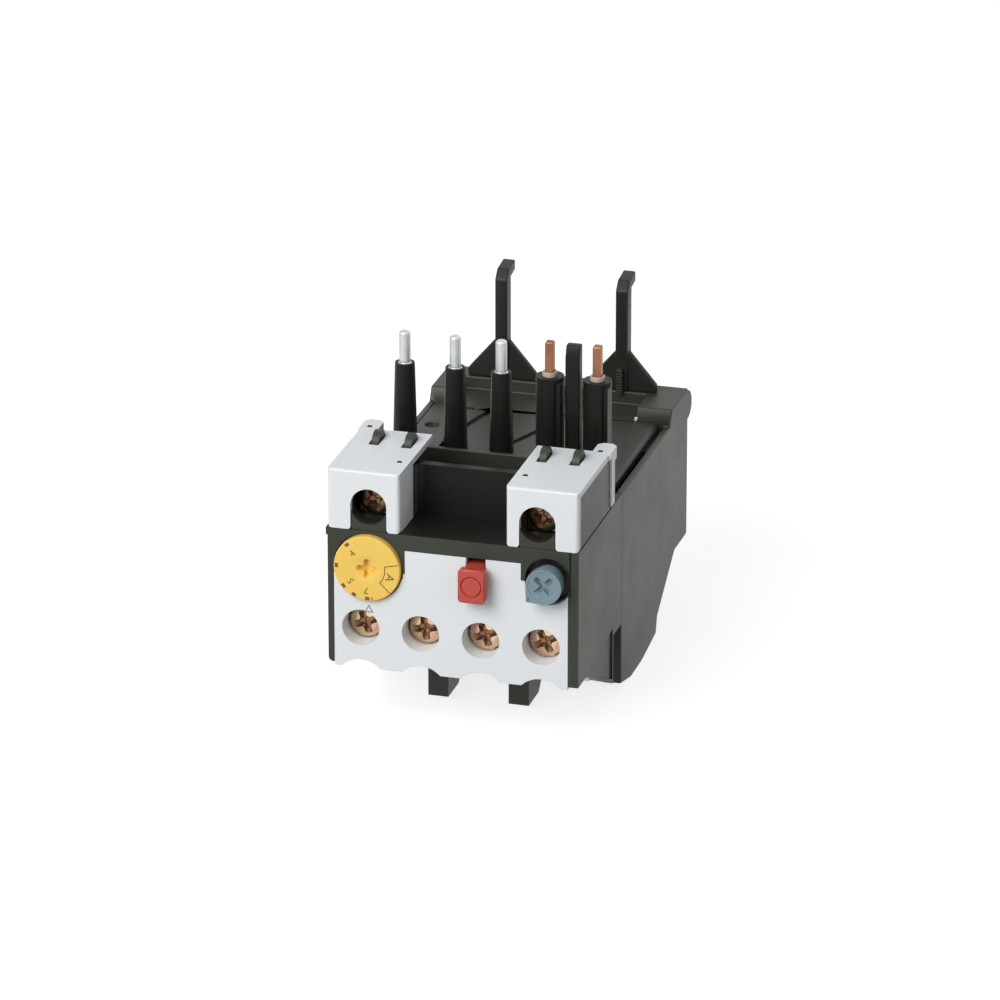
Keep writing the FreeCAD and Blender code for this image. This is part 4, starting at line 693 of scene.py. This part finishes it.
def screw_set(name, node, screws, front, material=None):
    piece = finish_piece(name, joined([screw(x, front, z, turn) for x, z, turn in screws]), node,
                         material)
    # painted shade: darker zinc on the faces inside the cross recesses
    paint(piece, TINTS["recess_shade_zinc"],
          lambda at: front + RECESS_SHADE < at.y < front + HEAD_THICK - RECESS_SPARE
          and any(math.hypot(at.x - x, at.z - z) < RECESS_REACH for x, z, turn in screws))
    soften(piece, SCREW_SOFT, segments=2, angle=SCREW_ANGLE)
    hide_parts(node)


WELL_RADIUS = 3.35
WELL_WALL = 0.45
WELL_FRONT = 1.0
WELL_BACK = 4.4


def screw_wells():
    """The white collars round the plate's screws, carried on behind their heads."""
    rings = [turned(x, z, ((WELL_RADIUS, WELL_FRONT), (WELL_RADIUS + WELL_WALL, WELL_FRONT),
                           (WELL_RADIUS + WELL_WALL, WELL_BACK), (WELL_RADIUS, WELL_BACK),
                           (WELL_RADIUS, WELL_FRONT)), steps=64)
             for x, z, turn in AUXILIARY_SCREWS]
    piece = finish_piece("screw_wells", joined(rings), "face_plate")
    shade(piece)


DIAL_X = -15.2
DIAL_Z = 18.7
DIAL_RADIUS = 6.0
DIAL_FRONT = -1.0
DIAL_BACK = 1.6
DIAL_SHAFT = 2.4
DIAL_SHAFT_BACK = 8.0
DIAL_CROSS_LONG = 3.7
DIAL_CROSS_WIDE = 1.15
DIAL_CROSS_DEEP = 1.3
DIAL_CROSS_CORNER = 0.4
DIAL_CONE = 2.3
DIAL_CROSS_NARROWING = 0.8
DIAL_SOFT = 0.1 * MM
DIAL_SOFT_ANGLE = 30.0
# the dial's face out to its rim: pairs of radius and depth behind the front
DIAL_FACE = ((0, 0.4), (0.8, 0.3), (DIAL_CONE, 0.02), (DIAL_CONE + 0.3, 0),
             (DIAL_RADIUS - 0.3, 0), (DIAL_RADIUS - 0.09, 0.09), (DIAL_RADIUS, 0.3))
# marks and numbers by angle in degrees, anticlockwise from the right
DIAL_MARKS = (130.0, 178.0, 220.0, 245.0, 271.0)
DIAL_MARK_RADIUS = 5.45
DIAL_MARK_LONG = 0.58
DIAL_MARK_WIDE = 0.8
DIAL_TICK = 280.0
DIAL_NUMBERS = (("4", 134.0, 3.6), ("5", 221.0, 3.75), ("7", 269.0, 3.95))
NUMBER_HIGH = 1.25
SECTOR_START = -44.0
SECTOR_END = 13.0
SECTOR_INNER = 3.3
SECTOR_OUTER = 5.8
UNIT_RADIUS = 4.3
UNIT_ANGLE = -16.0
UNIT_HIGH = 1.5
LINE = 0.15


def dial():
    """The dial: a thick disc with a dished cross recess, on its shaft."""
    outline = [(radius, DIAL_FRONT + depth) for radius, depth in DIAL_FACE]
    outline += [(DIAL_RADIUS, DIAL_BACK), (DIAL_SHAFT, DIAL_BACK), (DIAL_SHAFT, DIAL_SHAFT_BACK),
                (0, DIAL_SHAFT_BACK)]
    cuts = cross_recess(DIAL_X, DIAL_FRONT, DIAL_Z, DIAL_CROSS_LONG, DIAL_CROSS_WIDE,
                        DIAL_CROSS_DEEP, DIAL_CROSS_NARROWING, 0.0, DIAL_CROSS_CORNER)
    piece = finish_piece("dial_cap", carved(turned(DIAL_X, DIAL_Z, outline, steps=96), *cuts),
                         "setting_dial")
    soften(piece, DIAL_SOFT, segments=2, angle=DIAL_SOFT_ANGLE)
    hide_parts("setting_dial")


def polar(radius, degrees):
    turn = math.radians(degrees)
    return (DIAL_X + radius * math.cos(turn), DIAL_Z + radius * math.sin(turn))


def arc_band(radius, start, end, steps=16):
    """Outline of a thin arc on the dial."""
    angles = [start + (end - start) * k / steps for k in range(steps + 1)]
    return ([polar(radius - LINE / 2, angle) for angle in angles]
            + [polar(radius + LINE / 2, angle) for angle in reversed(angles)])


def sector_patch(radius, degrees, long, wide):
    """Outline of a small patch on the dial, `long` outwards and `wide` along the rim."""
    half = math.degrees(wide / 2 / radius)
    return [polar(radius - long / 2, degrees - half), polar(radius + long / 2, degrees - half),
            polar(radius + long / 2, degrees + half), polar(radius - long / 2, degrees + half)]


def dial_print():
    """Marks, numbers and the outlined field with the unit, printed on the dial."""
    front, back = DIAL_FRONT - PRINT_THICK, DIAL_FRONT + PRINT_THICK
    parts = []
    for angle in DIAL_MARKS:
        parts.append(slab(sector_patch(DIAL_MARK_RADIUS, angle, DIAL_MARK_LONG, DIAL_MARK_WIDE),
                          front, back))
    parts.append(slab(sector_patch(DIAL_MARK_RADIUS, DIAL_TICK, DIAL_MARK_LONG, LINE),
                      front, back))
    parts.append(slab(arc_band(SECTOR_INNER, SECTOR_START, SECTOR_END), front, back))
    for angle in (SECTOR_START, SECTOR_END):
        wide = math.degrees(LINE / 2 / SECTOR_INNER)
        thin = math.degrees(LINE / 2 / SECTOR_OUTER)
        parts.append(slab([polar(SECTOR_INNER, angle - wide), polar(SECTOR_OUTER, angle - thin),
                           polar(SECTOR_OUTER, angle + thin), polar(SECTOR_INNER, angle + wide)],
                          front, back))
    for number, angle, radius in DIAL_NUMBERS:
        x, z = polar(radius, angle)
        parts.append(written(number, x, DIAL_FRONT, z, NUMBER_HIGH, turn=math.radians(angle - 90)))
    x, z = polar(UNIT_RADIUS, UNIT_ANGLE)
    parts.append(written("A", x, DIAL_FRONT, z, UNIT_HIGH, turn=math.radians(UNIT_ANGLE - 90)))
    piece = finish_piece("dial_print", joined(parts), "setting_dial", TINTS["scale_ink"])


POINTER_X = -15.1
POINTER_Z = 11.0
POINTER_SIDE = 1.7
POINTER_OPEN = 0.56
POINTER_HALF_HIGH = 0.43
POINTER_SUNK = 0.02


def setting_mark():
    """The outlined triangle below the dial."""
    outer = [(POINTER_X - POINTER_SIDE / 2, POINTER_Z - POINTER_SIDE * POINTER_HALF_HIGH),
             (POINTER_X + POINTER_SIDE / 2, POINTER_Z - POINTER_SIDE * POINTER_HALF_HIGH),
             (POINTER_X, POINTER_Z + POINTER_SIDE * POINTER_HALF_HIGH)]
    middle_z = sum(z for x, z in outer) / 3
    inner = [(POINTER_X + POINTER_OPEN * (x - POINTER_X),
              middle_z + POINTER_OPEN * (z - middle_z)) for x, z in outer]
    parts = []
    for k in range(3):
        after = (k + 1) % 3
        parts.append(slab([outer[k], outer[after], inner[after], inner[k]], -PRINT_THICK,
                          POINTER_SUNK))
    piece = finish_piece("setting_mark", joined(parts), "face_plate", TINTS["plate_ink"])


STOP_X = 4.15
STOP_Z = 18.3
STOP_FRONT = -3.0
STOP_RING = 1.78
STOP_RING_WIDE = 0.26
STOP_RING_DEEP = 0.2
STOP_CORNER = 0.95
STOP_SOFT = 0.14 * MM
STOP_LIFT = 0.3
STOP_NECK = -2.6
STOP_BACK = 9
STOP_CLEAR = 5
STOP_STEM_TOP = 21.3
STOP_HALF_WIDE = 2.45
STOP_HALF_HIGH = 3.15
STOP_CORNER_BACK = -0.5


def stop_button():
    """The red cap with rounded corners and an engraved ring."""
    near, far = STOP_RING - STOP_RING_WIDE / 2, STOP_RING + STOP_RING_WIDE / 2
    above, bottom = STOP_FRONT - STOP_LIFT, STOP_FRONT + STOP_RING_DEEP
    ring = turned(STOP_X, STOP_Z, ((near, above), (far, above), (far, bottom), (near, bottom),
                                   (near, above)), steps=64)
    stem_top = block((STOP_X - STOP_CLEAR, STOP_NECK, STOP_STEM_TOP),
                     (STOP_X + STOP_CLEAR, STOP_BACK, STOP_STEM_TOP + 3))
    corners = [corner_cut((STOP_X + side * STOP_HALF_WIDE, STOP_Z + end * STOP_HALF_HIGH),
                          (side, end), STOP_CORNER, STOP_FRONT - CORNER_LIFT, STOP_CORNER_BACK)
               for side in (-1, 1) for end in (-1, 1)]
    piece = finish_piece("stop_cap", carved(merged_copy("stop_button"), ring, stem_top, *corners),
                         "stop_button")
    soften(piece, STOP_SOFT, segments=3, angle=30.0)
    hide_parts("stop_button")


KNOB_X = 17.0
KNOB_Z = 19.7
KNOB_RADIUS = 3.2
KNOB_REACH = 1.1
KNOB_FRONT = -3.0
KNOB_STEP = -1.45
KNOB_BACK = 0.8
KNOB_FOOT = 2.7
KNOB_DISH = 2.75
KNOB_CROSS_LONG = 4.3
KNOB_CROSS_WIDE = 1.05
KNOB_CROSS_DEEP = 0.9
KNOB_CROSS_NARROWING = 0.6
KNOB_CROSS_CORNER = 0.25
KNOB_CROSS_FRONT = 0.15
KNOB_OVERLAP = 0.02
KNOB_SOFT = 0.12 * MM
# the dish in the knob's face: pairs of radius and depth behind the front
KNOB_HOLLOW = ((0, -0.5), (KNOB_DISH + 0.1, -0.5), (KNOB_DISH, 0.1), (0, 0.3))
# the notch beside the dish: its corners from the knob's middle
KNOB_NOTCH = ((-2.75, -0.5, -2.95), (-2.45, 0.2, -2.25))


def knob():
    """The reset knob: a drop-shaped head with a rim, on a round foot."""
    tip = KNOB_RADIUS + KNOB_REACH
    lean = math.acos(KNOB_RADIUS / tip)
    start = math.radians(225) + lean
    drop = ring_points(KNOB_X, KNOB_Z, KNOB_RADIUS, 56, start, 2 * math.pi - 2 * lean)
    drop.append((KNOB_X + KNOB_RADIUS * math.cos(start - 2 * lean),
                 KNOB_Z + KNOB_RADIUS * math.sin(start - 2 * lean)))
    drop.append((KNOB_X - tip * math.sqrt(0.5), KNOB_Z - tip * math.sqrt(0.5)))
    head = slab(drop, KNOB_FRONT, KNOB_STEP)
    foot_front = KNOB_STEP - KNOB_OVERLAP
    foot = turned(KNOB_X, KNOB_Z, ((0, foot_front), (KNOB_FOOT, foot_front),
                                   (KNOB_FOOT, KNOB_BACK), (0, KNOB_BACK)), steps=64)
    dish = turned(KNOB_X, KNOB_Z, [(radius, KNOB_FRONT + depth) for radius, depth in KNOB_HOLLOW],
                  steps=64)
    cuts = [dish] + cross_recess(KNOB_X, KNOB_FRONT + KNOB_CROSS_FRONT, KNOB_Z, KNOB_CROSS_LONG,
                                 KNOB_CROSS_WIDE, KNOB_CROSS_DEEP, KNOB_CROSS_NARROWING, 45.0,
                                 KNOB_CROSS_CORNER)
    cuts.append(block(*[(KNOB_X + x, KNOB_FRONT + y, KNOB_Z + z) for x, y, z in KNOB_NOTCH]))
    piece = finish_piece("knob_head", joined([carved(head, *cuts), foot]), "reset_knob")
    soften(piece, KNOB_SOFT, segments=3, angle=35.0)
    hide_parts("reset_knob")


# pits in the covers and where the plate meets them: place across and place back
COVER_PITS = {"left_terminal_cover": ((-21.2, 21.2), (-11.3, 6.2)),
              "right_terminal_cover": ((20.7, 20.6), (11.3, 6.1))}
PIT_SIDE = 0.85
PIT_DEEP = 0.9
COVER_TOP = 36.3
COVER_SOFT = 0.25 * MM
PIT_SPARE = 0.1
PIT_REACH = 0.55 * PIT_SIDE
COVER_FOOT = 25.4
COVER_WALL = 1.1
COVER_OUTER = 22.5
COVER_INNER = 9.5
# the legs of the arch in the cover's front, by the places of their edges
COVER_LEGS = ((COVER_INNER, -1), (11.85, 1), (18.35, -1), (COVER_OUTER, 1))
LEG_CORNER = 0.55
UPRIGHT_CORNER = 0.8


def terminal_cover(node):
    """A cover with rounded corners and the small pits that its mould leaves, painted dark inside
    as shade.
    """
    cuts = [block((x - PIT_SIDE / 2, y - PIT_SIDE / 2, COVER_TOP - PIT_DEEP),
                  (x + PIT_SIDE / 2, y + PIT_SIDE / 2, COVER_TOP + PIT_DEEP))
            for x, y in COVER_PITS[node]]
    side = -1 if node.startswith("left") else 1
    for leg, out in COVER_LEGS:
        cuts.append(corner_cut((side * leg, COVER_FOOT), (side * out, -1), LEG_CORNER,
                               -CORNER_LIFT, COVER_WALL))
    for edge, out in ((COVER_INNER, -1), (COVER_OUTER, 1)):
        cuts.append(corner_cut((side * edge, 0), (side * out, -1), UPRIGHT_CORNER,
                               COVER_FOOT - CORNER_LIFT, COVER_TOP + CORNER_LIFT, "Z"))
    piece = finish_piece(node + "_moulded", carved(merged_copy(node), *cuts), node)
    # painted shade inside the pits
    paint(piece, TINTS["painted_shade_moulding"],
          lambda at: COVER_TOP - PIT_DEEP - PIT_SPARE < at.z < COVER_TOP - PIT_SPARE
          and any(max(abs(at.x - x), abs(at.y - y)) < PIT_REACH for x, y in COVER_PITS[node]))
    soften(piece, COVER_SOFT, segments=3)
    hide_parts(node)


# the ribbed strip in front of the right hook's foot
STRIP_X = 10.6
STRIP_Y = 69.3
STRIP_WIDE = 1.0
STRIP_LOW = 28.0
STRIP_HIGH = 32.8
STRIP_TEETH = 9
STRIP_THICK = 0.8
STRIP_SOFT = 0.05 * MM
TOOTH_PROUD = 0.25
TOOTH_BACK = 0.1
TOOTH_SIDE = 0.1
TOOTH_GAP = 0.1
TOOTH_SHARE = 0.6


def ribbed_strip():
    pitch = (STRIP_HIGH - STRIP_LOW) / STRIP_TEETH
    parts = [block((STRIP_X, STRIP_Y, STRIP_LOW),
                   (STRIP_X + STRIP_WIDE, STRIP_Y + STRIP_THICK, STRIP_HIGH))]
    for tooth in range(STRIP_TEETH):
        low = STRIP_LOW + tooth * pitch
        parts.append(block((STRIP_X - TOOTH_SIDE, STRIP_Y - TOOTH_PROUD, low + TOOTH_GAP),
                           (STRIP_X + STRIP_WIDE + TOOTH_SIDE, STRIP_Y + TOOTH_BACK,
                            low + TOOTH_SHARE * pitch)))
    piece = finish_piece("ribbed_strip", joined(parts), "right_hook")
    soften(piece, STRIP_SOFT)


STUB_X = 16.1
STUB_Y = 62.6
# the stub on the deck: pairs of radius and height
STUB = ((0, 25.6), (0.35, 25.6), (0.35, 26.5), (0.2, 26.65), (0, 26.65))


def moulding_pip():
    """The small pale stub on the deck."""
    piece = finish_piece("deck_pip", upright(STUB_X, STUB_Y, STUB, steps=16),
                         "top_deck", MATERIALS["white_plastic"])
    shade(piece)


SOFT_EDGES = {
    "rear_housing": 0.3 * MM,
    "top_deck": 0.2 * MM,
    "pin_sleeves": 0.25 * MM,
    "wire_sleeves": 0.2 * MM,
    "locating_finger": 0.25 * MM,
    "left_hook": 0.3 * MM,
    "right_hook": 0.3 * MM,
    "face_plate": 0.15 * MM,
    "main_terminal_clamps": 0.15 * MM,
    "auxiliary_clamps": 0.12 * MM,
    "coil_clamps": 0.12 * MM,
    "coil_wire_left": 0.15 * MM,
    "coil_wire_right": 0.15 * MM,
    "wire_collars": 0.1 * MM,
}


# rear parts painted darker as shade, and the material each takes
SHADE_DARKENED_MOULDINGS = {"pin_sleeves": "painted_shade_moulding", "wire_sleeves": "painted_shade_moulding",
                  "locating_finger": "painted_shade_moulding", "left_hook": "hook_shade_moulding",
                  "right_hook": "hook_shade_moulding"}
BLOCK_BOTTOM = 0.3
BLOCK_EDGE = 0.22 * MM
BLOCK_CORNER = 0.9
BLOCK_CORNER_BACK = 8.0
SCALLOP_ROOM = 1.0
SCALLOP_DEEP = 4.2
SCALLOP_FRONT = 0.2
SCALLOP_PLATE = 1.4
SCALLOP_SPARE = 0.01
SCALLOP_LEFT = -21.2
SCALLOP_RIGHT = 20.4
COIL_X = 15.1
COIL_Z = 29.85
COIL_BORE = 3.4
COIL_BORE_FRONT = 1.8
APRON_HALF = 9.4
APRON_LOW = 25.2
APRON_FRONT = 0.3
PIN_EDGE = 0.2 * MM


def front_block():
    """The front housing: rounded lower left edge, cut back behind the plate's scallops, with
    painted shade on the apron between the towers and inside the coil bores.
    """
    corner = corner_cut((-COVER_OUTER, BLOCK_BOTTOM), (-1, -1), BLOCK_CORNER, -CORNER_LIFT,
                        BLOCK_CORNER_BACK)
    low, high = BLOCK_BOTTOM - SCALLOP_SPARE, BLOCK_BOTTOM + SCALLOP_ROOM
    back = slab([(SCALLOP_FRONT, low), (SCALLOP_DEEP, low), (SCALLOP_PLATE, high),
                 (SCALLOP_FRONT, high)], SCALLOP_LEFT, SCALLOP_RIGHT, "X")
    piece = finish_piece("front_block", carved(merged_copy("front_housing"), corner, back),
                         "front_housing")
    # painted shade on the apron between the towers and inside the coil bores
    paint(piece, TINTS["painted_shade_moulding"],
          lambda at: (abs(at.x) < APRON_HALF and at.y > APRON_FRONT and at.z > APRON_LOW)
          or (at.y > COIL_BORE_FRONT
              and math.hypot(abs(at.x) - COIL_X, at.z - COIL_Z) < COIL_BORE))
    soften(piece, BLOCK_EDGE)
    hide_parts("front_housing")


# white fields of the plate beside the dial and beside the reset knob
DIAL_FIELD = ((-8.92, 16.8), (-8.55, 16.8), (-8.55, 18.1), (-8.92, 18.1))
KNOB_FIELD_LEFT = 12.1
KNOB_FIELD_RADIUS = 4.14
KNOB_FIELD_START = math.radians(186)
KNOB_FIELD_SWEEP = math.radians(42)


def plate_fields():
    around = ring_points(KNOB_X, KNOB_Z, KNOB_FIELD_RADIUS, 12, KNOB_FIELD_START, KNOB_FIELD_SWEEP)
    knob_field = around + [(KNOB_FIELD_LEFT, around[-1][1]), (KNOB_FIELD_LEFT, around[0][1])]
    parts = [slab(field, -PRINT_THICK, PRINT_THICK) for field in (DIAL_FIELD, knob_field)]
    finish_piece("plate_fields", joined(parts), "face_plate")


def mouldings():
    """The housing's parts with their softened edges, and some of them painted darker as shade."""
    made = {node: softened_node(node, width) for node, width in SOFT_EDGES.items()}
    for node, tint in SHADE_DARKENED_MOULDINGS.items():
        paint(made[node], TINTS[tint], lambda at: True)
    front_block()
    plate_fields()
    for node in frame["nodes"]:
        if node.startswith("contact_pin"):
            softened_node(node, PIN_EDGE)


def main():
    bpy.context.scene.view_settings.view_transform = "Standard"
    make_camera()
    make_world()
    make_lamps()
    make_floor()
    dress_nodes()
    mouldings()
    for node in COVER_PITS:
        terminal_cover(node)
    screw_set("auxiliary_screw_set", "auxiliary_screws", AUXILIARY_SCREWS, AUXILIARY_HEAD_Y)
    # the coil screws take darker zinc as painted shade
    screw_set("coil_screw_set", "coil_screws", COIL_SCREWS, COIL_HEAD_Y, TINTS["deep_hole_shade_zinc"])
    screw_wells()
    dial()
    dial_print()
    setting_mark()
    stop_button()
    knob()
    ribbed_strip()
    moulding_pip()


main()
